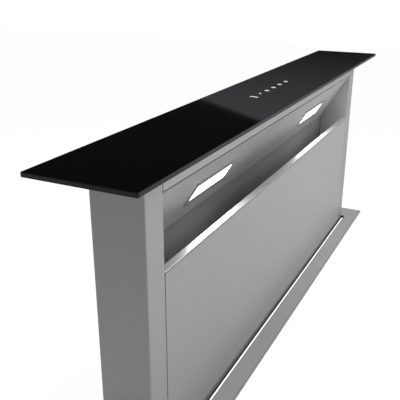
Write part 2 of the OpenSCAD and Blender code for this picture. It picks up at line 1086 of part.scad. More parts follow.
// The space round the cross shaft
module shaft_space(l, at_x) {
    translate([at_x - l / 2, belt_y, shaft_z])
        rotate([0, 90, 0])
            cylinder(r = shaft_r + run, h = l);
}

module shaft_bearings() {
    x = belt_x - bearing_in;
    floor_z = base_z + chassis_t;
    color("dimgray")
        both_ends()
            difference() {
                block(
                    [bearing_size[0], bearing_size[1], shaft_z + shaft_r + bearing_over - floor_z],
                    [x, belt_y - bearing_size[1] / 2, floor_z]
                );
                shaft_space(bearing_size[0] + 2 * overrun, x);
            }
}

module gear_motor() {
    floor_z = base_z + chassis_t;
    top = floor_z + gear_size[2];
    color("gray") {
        difference() {
            block(gear_size, [gear_x, belt_y - gear_size[1] / 2, floor_z]);
            shaft_space(gear_size[0] + 2 * overrun, gear_x);
        }
        translate([gear_x, belt_y, top]) {
            cylinder(r = can_r, h = can_h);
            cylinder(r = can_cap_r, h = can_h + can_cap_h);
        }
    }
}

// Blower

module blower_box() {
    color("lightgray")
        difference() {
            block([box_l, box_d - box_t, box_h], [0, box_y - box_d + box_t, base_z]);
            block(
                [box_l - 2 * box_t, box_d - box_t, box_h - 2 * box_t],
                [0, box_y - box_d, base_z + box_t]
            );
            blower_section(box_y + overrun, box_t + 2 * overrun)
                circle(inlet_r + inlet_wide);
            translate([box_l / 2 - box_t - overrun, 0, 0])
                outlet_duct_space(2 * overrun + box_t);
        }
}

// The inside of the scroll's outlet duct, drawn out along X
module outlet_duct_space(l) {
    low = scroll_min * sin(tongue_a);
    translate([0, scroll_y - scroll_w + scroll_t, blower_z + low])
        cube([l, scroll_w - 2 * scroll_t, scroll_max - low]);
}

module blower_lid() {
    low = base_z + box_t + fit;
    color("lightgray")
        difference() {
            union() {
                block([box_l, box_t, box_h], [0, box_y - box_d, base_z]);
                block(
                    [box_l - 2 * box_t - 2 * fit, lid_turn, box_h - 2 * box_t - 2 * fit],
                    [0, box_y - box_d + box_t, low]
                );
            }
            block(
                [box_l - 4 * box_t - 2 * fit, lid_turn + overrun, box_h - 4 * box_t - 2 * fit],
                [0, box_y - box_d + box_t, low + box_t]
            );
            at_lid_screws()
                cylinder(r = screw_r + fit, h = box_t + 2 * overrun);
        }
}

module at_lid_screws() {
    x = box_l / 2 - screw_in - lid_turn;
    for (i = [0:screw_columns - 1], z = [base_z + screw_in + lid_turn, box_z - screw_in - lid_turn])
        translate([x * (2 * i / (screw_columns - 1) - 1), box_y - box_d - overrun, z])
            rotate([-90, 0, 0]) children();
}

module lid_screws() {
    color("gray")
        at_lid_screws()
            translate([0, 0, overrun]) {
                translate([0, 0, -screw_head_h])
                    cylinder(r = screw_head_r, h = screw_head_h);
                cylinder(r = screw_r, h = screw_l);
            }
}

// Radius of the scroll at angle a, which falls from the tongue to the top
function scroll_at(a) = scroll_min + (scroll_max - scroll_min) * (tongue_a - a) / (tongue_a - top_a);

// The scroll and its duct in one outline, from point first of the spiral; the wall's outline leaves out the tongue
module scroll_outline(extra, duct_end, first) {
    low = scroll_min * sin(tongue_a) - extra;
    high = scroll_max + extra;
    polygon(concat(
        [
            for (i = [first:scroll_steps])
                let (a = tongue_a + (top_a - tongue_a) * i / scroll_steps)
                (scroll_at(a) + extra) * [cos(a), sin(a)]
        ],
        [[duct_end, high], [duct_end, low]]
    ));
}

module scroll_housing() {
    duct_end = box_l / 2 - box_t;
    color("#303236")
        difference() {
            blower_section(scroll_y, scroll_w)
                scroll_outline(scroll_t, duct_end, 1);
            blower_section(scroll_y - scroll_t, scroll_w - 2 * scroll_t)
                scroll_outline(0, duct_end + overrun, 0);
            blower_section(scroll_y + overrun, scroll_t + 2 * overrun)
                circle(inlet_r + inlet_t + fit);
            blower_section(scroll_y - scroll_w + scroll_t + overrun, scroll_t + 2 * overrun)
                circle(motor_hole_r);
        }
}

// The inlet funnel, from the chassis wall into the mouth of the impeller
module inlet_ring() {
    wide = inlet_r + inlet_wide;
    length = scroll_gap - box_t;
    color("silver")
        translate([0, box_y - box_t, blower_z])
            rotate([90, 0, 0])
                rotate_extrude()
                    polygon([
                        [wide, 0], [wide + inlet_flange, 0], [wide + inlet_flange, inlet_t], [wide, inlet_t],
                        [inlet_r + inlet_t, length - inlet_dip], [inlet_r + inlet_flange, length - inlet_dip],
                        [inlet_r + inlet_flange, length], [inlet_r + inlet_t, length],
                        [inlet_r + inlet_t, length + inlet_dip], [inlet_r, length + inlet_dip],
                        [inlet_r, length - inlet_dip - inlet_t], [wide - inlet_t, inlet_t]
                    ]);
}

// Outline of one forward-curved blade, from its root at blade_r to just inside the impeller's rim
function blade_point(k, side) =
    let (r = blade_r + (impeller_r - blade_inset - blade_r) * k / blade_steps)
    let (a = -blade_sweep * pow(k / blade_steps, 2) / 2 + side * blade_t / 2 / r * 180 / PI)
    r * [cos(a), sin(a)];

module blade_outline() {
    polygon(concat(
        [for (k = [0:blade_steps]) blade_point(k, -1)],
        [for (k = [blade_steps:-1:0]) blade_point(k, 1)]
    ));
}

module impeller() {
    mouth_y = scroll_y - scroll_t - scroll_side_gap;
    disc_y = mouth_y - impeller_w + impeller_disc_t;
    color("#505458")
        difference() {
            union() {
                blower_section(mouth_y, impeller_w)
                    for (i = [0:blades - 1])
                        rotate(i * 360 / blades) blade_outline();
                blower_section(disc_y, impeller_disc_t)
                    circle(impeller_r);
                blower_section(disc_y + hub_l, hub_l)
                    circle(hub_r);
                blower_section(mouth_y, impeller_ring_t)
                    difference() {
                        circle(impeller_r);
                        circle(impeller_r - impeller_ring_w);
                    }
            }
            blower_section(disc_y + hub_l + overrun, hub_l + impeller_disc_t + 2 * overrun)
                circle(motor_shaft_r + run);
        }
}

module motor_mount() {
    color("silver")
        blower_section(scroll_y - scroll_w, mount_plate_t)
            difference() {
                circle(mount_plate_r);
                circle(motor_boss_r + fit);
                for (i = [0:mount_windows - 1])
                    rotate(i * 360 / mount_windows)
                        translate([(motor_boss_r + motor_hole_r) / 2, 0])
                            circle(mount_window_r);
            }
}

module blower_motor() {
    seat = scroll_y - scroll_w - mount_plate_t;
    disc_y = scroll_y - scroll_t - scroll_side_gap - impeller_w + impeller_disc_t;
    color("#404246") {
        blower_section(seat, motor_flange_t)
            circle(motor_flange_r);
        blower_section(seat, motor_l) {
            circle(motor_r - motor_fin[0]);
            for (i = [0:motor_fins - 1])
                rotate(i * 360 / motor_fins)
                    translate([0, -motor_fin[1] / 2])
                        square([motor_r, motor_fin[1]]);
        }
        blower_section(seat + mount_plate_t, motor_boss_l)
            circle(motor_boss_r);
        blower_section(disc_y + hub_l, disc_y + hub_l - seat)
            circle(motor_shaft_r);
    }
}

// Outlet

module on_spigot(x) {
    translate([x, spigot_y, spigot_z]) children();
}

module spigot_ring(r_out, r_in, l, x) {
    on_spigot(x)
        rotate([0, 90, 0])
            difference() {
                cylinder(r = r_out, h = l);
                translate([0, 0, -overrun])
                    cylinder(r = r_in, h = l + 2 * overrun);
            }
}

module outlet_collar() {
    seat_x = flap_x - flap_t / 2 - seat_gap - seat_t;
    bore = spigot_r - spigot_t;
    color("#303236")
        difference() {
            union() {
                spigot_ring(spigot_r, bore, spigot_l, box_l / 2);
                spigot_ring(spigot_r + spigot_flange, bore, spigot_t, box_l / 2);
                spigot_ring(spigot_r - spigot_t / 2, bore - seat_w, seat_t, seat_x);
            }
            on_spigot(flap_x)
                cylinder(r = flap_pin_r, h = 2 * bore + spigot_t, center = true);
        }
}

module flap_pin() {
    color("silver")
        on_spigot(flap_x)
            cylinder(r = flap_pin_r, h = 2 * (spigot_r - spigot_t), center = true);
}

// One half of the damper; its knuckles take every other place on the pin
module flap(side) {
    r = spigot_r - spigot_t - flap_gap;
    pitch = 2 * r / (2 * knuckles + 1);
    on_spigot(flap_x)
        difference() {
            union() {
                rotate([0, 90, 0])
                    translate([0, 0, -flap_t / 2])
                        linear_extrude(flap_t)
                            intersection() {
                                circle(r);
                                translate([-r, side > 0 ? flap_start : -flap_start - r])
                                    square([2 * r, r]);
                            }
                for (i = [0:knuckles - 1])
                    translate([0, 0, (2 * i + 1 - knuckles + side / 2) * pitch - pitch / 2 + fit]) {
                        cylinder(r = knuckle_r, h = pitch - 2 * fit);
                        translate([-flap_t / 2, side > 0 ? 0 : -flap_start - overrun, 0])
                            cube([flap_t, flap_start + overrun, pitch - 2 * fit]);
                    }
            }
            cylinder(r = flap_pin_r + run, h = 3 * r, center = true);
        }
}

module flap_front() {
    color("#606468") flap(-1);
}

module flap_rear() {
    color("#606468") flap(1);
}

// Control box

module control_box() {
    d = control_size[1];
    color("dimgray")
        difference() {
            forward(box_y, d)
                translate([control_x, control_z + control_size[2] / 2])
                    rounded(control_size[0], control_size[2], control_r);
            translate([control_x, 0, control_z - overrun])
                translate([0, box_y - d / 2, 0])
                    cylinder(r = gland_r - control_t + run, h = control_t + 2 * overrun);
            block(
                [control_size[0] - 2 * control_t, d - control_t - control_lid_t, control_size[2] - 2 * control_t],
                [control_x, box_y - d + control_lid_t, control_z + control_t]
            );
        }
}

module cable_gland() {
    color("#202020")
        translate([control_x, box_y - control_size[1] / 2, control_z])
            difference() {
                union() {
                    translate([0, 0, -gland_nut_h])
                        cylinder(r = gland_nut_r, h = gland_nut_h, $fn = 6);
                    translate([0, 0, -gland_l])
                        cylinder(r = gland_r, h = gland_l);
                    cylinder(r = gland_r - control_t, h = control_t);
                }
                translate([0, 0, -gland_l - overrun])
                    cylinder(r = gland_bore_r, h = gland_l + control_t + 2 * overrun);
            }
}

glass_top();
glass_carrier();
touch_board();
touch_cover();
head_rail();
end_post_left();
end_post_right();
rear_panel();
intake_liner();
lower_front();
column_foot();
lamp_bezel_left();
lamp_bezel_right();
lamp_lens_left();
lamp_lens_right();
lamp_boards();
filter_left();
filter_right();
filter_handles();
filter_ledges();
panel_pivots();
panel_magnets();
guide_carriages();
belt_clamps();
front_panel();
worktop_flange();
wiper_seals();
chassis_front();
chassis_rear();
chassis_end_left();
chassis_end_right();
chassis_base();
blanking_plate();
fixing_brackets();
base_rails();
feet();
guide_rails();
idler_pins();
idler_left();
idler_right();
toothed_belts();
cross_shaft();
drive_pulley_left();
drive_pulley_right();
shaft_bearings();
gear_motor();
blower_box();
blower_lid();
lid_screws();
inlet_ring();
scroll_housing();
impeller();
motor_mount();
blower_motor();
outlet_collar();
flap_pin();
flap_front();
flap_rear();
control_box();
cable_gland();
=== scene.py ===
# %% [markdown]
# # Looks for a downdraft vent
# The imported CAD model is loaded first and stays as it is: a glass-topped steel column over a chassis with a lift
# and a blower. Everything after this cell adds finishes, small details, a worktop to stand in, light and a camera.
# The box round the CAD model is kept.

import json
import math

import bmesh
import bpy
from mathutils import Matrix, Vector


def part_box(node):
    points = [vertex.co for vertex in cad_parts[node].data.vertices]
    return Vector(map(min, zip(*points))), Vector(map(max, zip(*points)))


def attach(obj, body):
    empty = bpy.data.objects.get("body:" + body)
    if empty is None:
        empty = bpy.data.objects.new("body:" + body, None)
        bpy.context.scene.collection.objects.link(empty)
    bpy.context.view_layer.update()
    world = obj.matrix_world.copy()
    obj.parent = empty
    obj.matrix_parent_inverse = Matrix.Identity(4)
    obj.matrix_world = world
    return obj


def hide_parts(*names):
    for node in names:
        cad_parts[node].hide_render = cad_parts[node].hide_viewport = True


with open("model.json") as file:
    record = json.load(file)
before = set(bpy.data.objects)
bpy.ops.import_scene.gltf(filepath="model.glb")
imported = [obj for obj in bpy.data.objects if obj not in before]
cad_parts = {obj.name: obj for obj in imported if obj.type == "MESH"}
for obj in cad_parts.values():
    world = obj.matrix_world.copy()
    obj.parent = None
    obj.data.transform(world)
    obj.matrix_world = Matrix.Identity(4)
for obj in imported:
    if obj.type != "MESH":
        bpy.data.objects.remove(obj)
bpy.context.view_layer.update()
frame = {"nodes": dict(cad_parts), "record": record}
nodes = frame["nodes"]
scene = bpy.context.scene
scene.view_settings.view_transform = "Standard"

# %% [markdown]
# ## Camera
# A product photo is easiest to match when the camera is settled before any looks. The place and angle here come from
# fitting the known edges of the glass, the column and the flange to the photo. A lens of 55 mm gives the same strong
# narrowing towards the far end.

# %% Camera
CAMERA_PLACE = Vector((-0.82073, -0.29565, 0.49883))
HEADING, PITCH = math.radians(26.37), math.radians(20.918)

camera = bpy.data.objects.new("camera", bpy.data.cameras.new("camera"))
scene.collection.objects.link(camera)
camera.data.lens = 54.86
camera.data.sensor_width = 36
camera.data.clip_start = 0.01
look = Vector((math.cos(PITCH) * math.cos(HEADING), math.cos(PITCH) * math.sin(HEADING), -math.sin(PITCH)))
camera.location = CAMERA_PLACE
camera.rotation_euler = look.to_track_quat("-Z", "Y").to_euler()
scene.camera = camera
print("camera looks along", [round(v, 3) for v in look])

# %% [markdown]
# ## Shader trees
# A finish in Blender is a small tree of nodes. Three helpers make what the trees below share: an empty material, one
# step of arithmetic, and one coordinate measured on the piece itself.

# %% Helpers for shader trees
def emptied(name):
    mat = bpy.data.materials.new(name)
    mat.use_nodes = True
    tree = mat.node_tree
    tree.nodes.clear()
    return mat, tree, tree.nodes.new("ShaderNodeOutputMaterial")


def maths(tree, operation, *values):
    node = tree.nodes.new("ShaderNodeMath")
    node.operation = operation
    for socket, value in zip(node.inputs, values):
        if isinstance(value, float):
            socket.default_value = value
        else:
            tree.links.new(value, socket)
    return node.outputs[0]


def coordinate(tree, axis):
    place = tree.nodes.new("ShaderNodeTexCoord")
    split = tree.nodes.new("ShaderNodeSeparateXYZ")
    tree.links.new(place.outputs["Object"], split.inputs[0])
    return split.outputs[axis]


# %% [markdown]
# ## Stage
# The vent belongs in a worktop, so a thin pale slab with a cut-out lies under its flange, and a floor lies under its
# feet. Both have to look white in the picture and still carry the soft shadow of the vent. A matt grey takes the
# light and the shadow, and a glow that only the camera and reflections see lifts it to white.

# %% A white finish that keeps shadows
MATT_GREY, WHITE_LIFT = 0.3, 0.93


def catalogue_white(name):
    mat, tree, out = emptied(name)
    matt = tree.nodes.new("ShaderNodeBsdfDiffuse")
    matt.inputs["Color"].default_value = (MATT_GREY, MATT_GREY, MATT_GREY, 1)
    path = tree.nodes.new("ShaderNodeLightPath")
    seen = maths(tree, "MAXIMUM", path.outputs["Is Camera Ray"], path.outputs["Is Glossy Ray"])
    seen = maths(tree, "MAXIMUM", seen, path.outputs["Is Transmission Ray"])
    glow = tree.nodes.new("ShaderNodeEmission")
    tree.links.new(maths(tree, "MULTIPLY", seen, WHITE_LIFT), glow.inputs["Strength"])
    both = tree.nodes.new("ShaderNodeAddShader")
    tree.links.new(matt.outputs[0], both.inputs[0])
    tree.links.new(glow.outputs[0], both.inputs[1])
    tree.links.new(both.outputs[0], out.inputs["Surface"])
    return mat


# %% [markdown]
# Pieces that are made here start as a bmesh, which is turned into an object at the origin. One small helper does that
# for all of them, and gives the piece its finish.

# %% From bmesh to object
def made(name, bm, *mats):
    mesh = bpy.data.meshes.new(name)
    bm.to_mesh(mesh)
    bm.free()
    piece = bpy.data.objects.new(name, mesh)
    scene.collection.objects.link(piece)
    for mat in mats:
        mesh.materials.append(mat)
    return piece


def block(bm, low, high):
    middle = (Vector(low) + Vector(high)) / 2
    size = Vector(high) - Vector(low)
    place = Matrix.Translation(middle) @ Matrix.Diagonal((*size, 1))
    bmesh.ops.create_cube(bm, size=1, matrix=place)


# %% Floor and worktop
WORKTOP = {"x": 0.62, "front": -0.225, "rear": 0.16, "thickness": 0.03}
CUT_OUT = {"x": 0.416, "y": 0.052}
FLOOR_HALF = 9

floor_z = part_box("feet")[0].z
bm = bmesh.new()
bmesh.ops.create_grid(bm, x_segments=1, y_segments=1, size=FLOOR_HALF, matrix=Matrix.Translation((0, 0, floor_z)))
floor = made("floor", bm, catalogue_white("floor_white"))

bm = bmesh.new()
for x0, x1, y0, y1 in [
    (-WORKTOP["x"], WORKTOP["x"], WORKTOP["front"], -CUT_OUT["y"]),
    (-WORKTOP["x"], WORKTOP["x"], CUT_OUT["y"], WORKTOP["rear"]),
    (-WORKTOP["x"], -CUT_OUT["x"], -CUT_OUT["y"], CUT_OUT["y"]),
    (CUT_OUT["x"], WORKTOP["x"], -CUT_OUT["y"], CUT_OUT["y"]),
]:
    block(bm, (x0, y0, -WORKTOP["thickness"]), (x1, y1, 0))
worktop = made("worktop", bm, catalogue_white("worktop_white"))
print("floor at", round(floor_z, 4))

# %% [markdown]
# ## Light
# The column is lit by a soft even world, white to the camera, and by two large soft lamps, one in front and one above.
# The glass top mirrors what stands beyond it, so it needs its own studio cards: a dark one, which keeps the near end of
# the glass black, and below it a grey one with a slanted upper edge, which draws the paler half with its sharp border.
# Only reflections see the cards.

# %% World
world = bpy.data.worlds.new("studio")
scene.world = world
world.use_nodes = True
tree = world.node_tree
tree.nodes.clear()
out = tree.nodes.new("ShaderNodeOutputWorld")
seen = tree.nodes.new("ShaderNodeMixShader")
path = tree.nodes.new("ShaderNodeLightPath")
tree.links.new(path.outputs["Is Camera Ray"], seen.inputs["Fac"])
SOFT_LIGHT, WHITE_TO_CAMERA = 0.18, 1.0
for socket, strength in ((1, SOFT_LIGHT), (2, WHITE_TO_CAMERA)):
    background = tree.nodes.new("ShaderNodeBackground")
    background.inputs["Color"].default_value = (1, 1, 1, 1)
    background.inputs["Strength"].default_value = strength
    tree.links.new(background.outputs[0], seen.inputs[socket])
tree.links.new(seen.outputs[0], out.inputs["Surface"])
print("soft light from all sides", SOFT_LIGHT)


# %% Lamps
def soft_lamp(name, place, target, size, power):
    lamp = bpy.data.lights.new(name, "AREA")
    lamp.shape = "RECTANGLE"
    lamp.size, lamp.size_y = size
    lamp.energy = power
    holder = bpy.data.objects.new(name, lamp)
    scene.collection.objects.link(holder)
    holder.location = place
    holder.rotation_euler = (Vector(target) - Vector(place)).to_track_quat("-Z", "Y").to_euler()
    return holder


soft_lamp("front_lamp", (0.65, -1.28, 1.18), (0.1, 0, 0.3), (1.7, 1.1), 15)
soft_lamp("top_lamp", (0.5, -0.2, 2.3), (0.1, 0, 0.2), (1.6, 1.6), 11)
print("studio lamps", [lamp.name for lamp in bpy.data.lights])

# %% [markdown]
# The two lamps of the vent light its intake and its lip. Their lenses glow, and a small area light in front of each
# adds the rest, because a lens bright enough to do it all would have jagged edges in the picture.

# %% Light from the vent's own lamps
LENS_OUT = Vector((0, -0.852, -0.524))
LENS_LAMP_SIZE, LENS_LAMP_POWER, LENS_LAMP_GAP = (0.094, 0.021), 0.07, 0.002
for side in ("left", "right"):
    lens_low, lens_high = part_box("lamp_lens_" + side)
    middle = (lens_low + lens_high) / 2 + LENS_OUT * LENS_LAMP_GAP
    lens_lamp = soft_lamp("lens_lamp_" + side, middle, middle + LENS_OUT, LENS_LAMP_SIZE, LENS_LAMP_POWER)
    lens_lamp.visible_camera = False
print("each lens is helped by", LENS_LAMP_POWER, "W")

# %% [markdown]
# The cards are placed by mirroring the camera in the glass: a line from the mirrored camera through a point of the
# glass meets the card where that point sees it. Two points of the border seen on the glass give the cards' edge.

# %% Edge of the cards
GLASS_TOP_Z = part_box("glass_top")[1].z
CARD_X = 2.5
mirrored = Vector((CAMERA_PLACE.x, CAMERA_PLACE.y, 2 * GLASS_TOP_Z - CAMERA_PLACE.z))


def on_card(x, y):
    along = Vector((x, y, GLASS_TOP_Z)) - mirrored
    return mirrored + along * (CARD_X - mirrored.x) / along.x


BORDER_FAR, BORDER_NEAR = (-0.1064, 0.0575), (-0.1858, -0.055)
far_edge, near_edge = on_card(*BORDER_FAR), on_card(*BORDER_NEAR)
slope = (near_edge - far_edge) / (near_edge.y - far_edge.y)


def on_edge(y):
    return far_edge + slope * (y - far_edge.y)


print("card edge from", [round(v, 3) for v in far_edge], "to", [round(v, 3) for v in near_edge])

# %% [markdown]
# A card is a single face. How much it glows can change with the height, and the grey card pales upwards.

# %% Glowing and dark cards
def card(name, corners, mat):
    bm = bmesh.new()
    bm.faces.new([bm.verts.new(c) for c in corners])
    piece = made(name, bm, mat)
    piece.visible_camera = False
    piece.visible_diffuse = False
    piece.visible_shadow = False
    piece.visible_transmission = False
    return piece


def glow(name, low, high, z_low=0, z_high=1):
    mat, tree, out = emptied(name)
    light = tree.nodes.new("ShaderNodeEmission")
    light.inputs["Color"].default_value = (0.94, 0.93, 1, 1)
    fade = tree.nodes.new("ShaderNodeMapRange")
    for socket, value in (("From Min", z_low), ("From Max", z_high), ("To Min", low), ("To Max", high)):
        fade.inputs[socket].default_value = value
    tree.links.new(coordinate(tree, "Z"), fade.inputs["Value"])
    tree.links.new(fade.outputs[0], light.inputs["Strength"])
    tree.links.new(light.outputs[0], out.inputs["Surface"])
    return mat


CARD_FOOT_Z, CARD_HEAD_Z = 0.45, 1.9
GREY_Y, DARK_Y = (0.1, 2.0), (0.7, 3.3)
card(
    "grey_card",
    [(CARD_X, GREY_Y[1], CARD_FOOT_Z), (CARD_X, GREY_Y[0], CARD_FOOT_Z), on_edge(GREY_Y[0]), on_edge(GREY_Y[1])],
    glow("card_grey", 0.018, 0.15, 0.6, 1.0),
)
card(
    "dark_card",
    [on_edge(DARK_Y[1]), on_edge(DARK_Y[0]), (CARD_X, DARK_Y[0], CARD_HEAD_Z), (CARD_X, DARK_Y[1], CARD_HEAD_Z)],
    glow("card_dark", 0.012, 0.012),
)
print("cards stand at x", CARD_X)

# %% [markdown]
# The near end of the column is a good deal darker than its front. A photographer gets that with a flag, a black card
# beside the object that keeps the studio's light off one side. Only diffuse light is kept off here.

# %% Flag beside the near end
FLAG_X, FLAG_HALF, FLAG_TOP = -1.2, 1.7, 2.0
flag = card(
    "flag",
    [(FLAG_X, side * FLAG_HALF, z) for z, side in ((0, -1), (0, 1), (FLAG_TOP, 1), (FLAG_TOP, -1))],
    glow("flag_black", 0, 0),
)
flag.visible_diffuse = True
flag.visible_glossy = False
print("flag stands at x", FLAG_X)

# %% [markdown]
# ## Finishes
# Each finish is a Principled shader whose colour and roughness vary a little over the surface, at the scale that the
# real finish has. They read Object coordinates, so the pattern sits still on its piece.

# %% A plain finish to start from
def finish(name, colour, metallic=0.0, roughness=0.5, **sockets):
    mat = bpy.data.materials.new(name)
    mat.use_nodes = True
    shader = mat.node_tree.nodes["Principled BSDF"]
    shader.inputs["Base Color"].default_value = (*colour, 1)
    shader.inputs["Metallic"].default_value = metallic
    shader.inputs["Roughness"].default_value = roughness
    for socket, value in sockets.items():
        shader.inputs[socket.replace("_", " ")].default_value = value
    return mat


# %% [markdown]
# A pattern is a texture stretched along X, Y and Z. It is used three times: it shades the base colour between a darker
# and a paler tone, it moves the roughness, and it lifts the surface by a hair.

# %% Pattern on a finish
DETAIL, BUMP_STRENGTH, LEAST_ROUGH = 3.0, 0.6, 0.02


def pattern(mat, stretch, colour_spread, rough_spread=0.0, lift=0.0, kind="noise"):
    tree = mat.node_tree
    shader = tree.nodes["Principled BSDF"]
    place = tree.nodes.new("ShaderNodeTexCoord")
    mapping = tree.nodes.new("ShaderNodeMapping")
    mapping.inputs["Scale"].default_value = stretch
    tree.links.new(place.outputs["Object"], mapping.inputs["Vector"])
    if kind == "noise":
        texture = tree.nodes.new("ShaderNodeTexNoise")
        texture.inputs["Detail"].default_value = DETAIL
        value = texture.outputs["Fac"]
    else:
        texture = tree.nodes.new("ShaderNodeTexVoronoi")
        value = texture.outputs["Color"]
    texture.inputs["Scale"].default_value = 1.0
    tree.links.new(mapping.outputs[0], texture.inputs["Vector"])
    base = shader.inputs["Base Color"]
    colour = list(base.default_value)
    mix = tree.nodes.new("ShaderNodeMix")
    mix.data_type = "RGBA"
    mix.inputs["A"].default_value = [c * (1 - colour_spread) for c in colour[:3]] + [1]
    mix.inputs["B"].default_value = [min(1, c * (1 + colour_spread)) for c in colour[:3]] + [1]
    if base.is_linked:
        mix.blend_type = "MULTIPLY"
        mix.inputs["Factor"].default_value = 1.0
        shade = tree.nodes.new("ShaderNodeMapRange")
        shade.inputs["To Min"].default_value = 1 - colour_spread
        shade.inputs["To Max"].default_value = 1 + colour_spread
        tree.links.new(value, shade.inputs["Value"])
        tree.links.new(base.links[0].from_socket, mix.inputs["A"])
        tree.links.new(shade.outputs[0], mix.inputs["B"])
    else:
        tree.links.new(value, mix.inputs["Factor"])
    tree.links.new(mix.outputs["Result"], base)
    rough = shader.inputs["Roughness"]
    if rough_spread and not rough.is_linked:
        spread = tree.nodes.new("ShaderNodeMapRange")
        spread.inputs["To Min"].default_value = max(LEAST_ROUGH, rough.default_value - rough_spread)
        spread.inputs["To Max"].default_value = min(1, rough.default_value + rough_spread)
        tree.links.new(value, spread.inputs["Value"])
        tree.links.new(spread.outputs[0], rough)
    if lift:
        bump = tree.nodes.new("ShaderNodeBump")
        bump.inputs["Distance"].default_value = lift
        bump.inputs["Strength"].default_value = BUMP_STRENGTH
        tree.links.new(value, bump.inputs["Height"])
        tree.links.new(bump.outputs[0], shader.inputs["Normal"])
    return mat


def grained(name, colour, roughness, stretch, spreads, metallic=0.0, **sockets):
    return pattern(finish(name, colour, metallic, roughness, **sockets), stretch, *spreads)


# %% [markdown]
# A finish can also change along one axis, such as a sheared edge that is dark or a surface that pales towards one end.
# A ramp of tones between two coordinates is multiplied into the base colour. Constant steps make sharp bands.

# %% Tones along an axis
def toned_along(mat, axis, low, high, stops, mirrored=False, steps="LINEAR"):
    tree = mat.node_tree
    base = tree.nodes["Principled BSDF"].inputs["Base Color"]
    level = coordinate(tree, axis)
    if mirrored:
        level = maths(tree, "ABSOLUTE", level)
    share = tree.nodes.new("ShaderNodeMapRange")
    share.inputs["From Min"].default_value = low
    share.inputs["From Max"].default_value = high
    tree.links.new(level, share.inputs["Value"])
    ramp = tree.nodes.new("ShaderNodeValToRGB")
    ramp.color_ramp.interpolation = steps
    while len(ramp.color_ramp.elements) < len(stops):
        ramp.color_ramp.elements.new(1.0)
    for element, (position, tone) in zip(ramp.color_ramp.elements, stops):
        element.position = position
        element.color = (*tone, 1) if isinstance(tone, tuple) else (tone, tone, tone, 1)
    tree.links.new(share.outputs[0], ramp.inputs[0])
    mix = tree.nodes.new("ShaderNodeMix")
    mix.data_type = "RGBA"
    mix.blend_type = "MULTIPLY"
    mix.inputs["Factor"].default_value = 1.0
    tree.links.new(base.links[0].from_socket, mix.inputs["A"])
    tree.links.new(ramp.outputs[0], mix.inputs["B"])
    tree.links.new(mix.outputs["Result"], base)


# %% [markdown]
# Brushed steel has fine scratches that run one way. On the column they run level, round its front and ends, so the
# pattern is long in X and Y and very short in Z. In the intake and on the flange they run along X.

# %% Brushed steels
def brushed_level(name, streaks):
    mat = grained(name, (0.50, 0.50, 0.503), 0.5, (9, 9, 420), (0.05, 0.06, 0.00002), metallic=0.4)
    pattern(mat, (120, 120, 700), streaks)
    return pattern(mat, (2.5, 2.5, 5), 0.02)


column_steel = brushed_level("column_steel", 0.09)

liner_steel = grained(
    "liner_steel", (0.48, 0.48, 0.483), 0.5, (4, 900, 900), (0.04, 0.04, 0.00002), metallic=0.35
)
intake_painted_shade_steel = liner_steel.copy()
intake_painted_shade_steel.name = "intake_painted_shade_steel"
# Painted light: a paler copy of the column's steel, for the inner faces of the end posts.
inner_painted_light_steel = grained("inner_painted_light_steel", (0.85, 0.85, 0.853), 0.5, (9, 9, 420), (0.05, 0.06, 0.00002), metallic=0.3)
flange_steel = grained(
    "flange_steel", (0.60, 0.598, 0.608), 0.45, (5, 500, 500), (0.04, 0.05, 0.00002), metallic=0.4
)
print("steels", [mat.name for mat in (column_steel, liner_steel, intake_painted_shade_steel, inner_painted_light_steel, flange_steel)])

# %% [markdown]
# In the photograph the wall of the intake is darker below its crease, and the slanted part above is paler towards both
# ends. The lamps don't give all of that, so the rest is painted shade below the crease and painted light at both ends.

# %% Tones of the intake
CREASE_Z, SLANT_TOP_Z = 0.2239, 0.3029
INTAKE_END_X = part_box("intake_liner")[1].x
# Painted shade: the wall below the crease is darkened.
toned_along(intake_painted_shade_steel, "Z", CREASE_Z - 0.002, SLANT_TOP_Z, [(0.0, 0.52), (0.05, 1.16), (1.0, 0.80)])
# Painted light: the slant pales towards both ends.
toned_along(intake_painted_shade_steel, "X", -INTAKE_END_X, INTAKE_END_X, [(0.0, 1.45), (0.42, 1.07), (0.75, 1.5)])
print("intake slants from", CREASE_Z, "to", SLANT_TOP_Z)

# %% [markdown]
# The flange's sheared edges are painted darker than its face, which is painted shade, with a pale line beside them,
# a painted highlight. The face itself is painted a little paler and cooler towards the far end, which is painted light.

# %% Edges of the flange
flange_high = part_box("worktop_flange")[1]
PAINTED_EDGE_FROM_Y, PAINTED_LIGHT_FROM_X = 0.030, -0.1
# Painted shade and painted highlight: a dark band and then a pale line along the outer rim of the face.
toned_along(
    flange_steel, "Y", PAINTED_EDGE_FROM_Y, flange_high.y,
    [(0.0, 1.0), (0.942, 0.40), (0.974, 1.15)], mirrored=True, steps="CONSTANT",
)
# Painted shade: the lower part of the sheared edge is darkened.
toned_along(flange_steel, "Z", 0.0, flange_high.z, [(0.0, 0.35), (0.60, 1.0)], steps="CONSTANT")
# Painted light: the face pales and cools towards the far end.
toned_along(flange_steel, "X", PAINTED_LIGHT_FROM_X, flange_high.x, [(0.0, (1.0, 1.0, 0.995)), (1.0, (1.34, 1.32, 1.36))])
print("flange reaches", round(flange_high.x, 4), "and", round(flange_high.y, 4))

# %% [markdown]
# The lip at the top of the front panel catches the light of the lamps above it as a long white gleam. For that gleam
# the same brushed finish gets a lower roughness above one level. Below the gleam a thin dark line is painted shade, and
# the top of the bend is painted paler, a painted highlight.

# %% Smoother lip
panel_painted_light_steel = brushed_level("panel_painted_light_steel", 0.07)
PANEL_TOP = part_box("front_panel")[1].z
LIP_TURN, LIP_PAINTED_BAND = 0.0009, 0.004


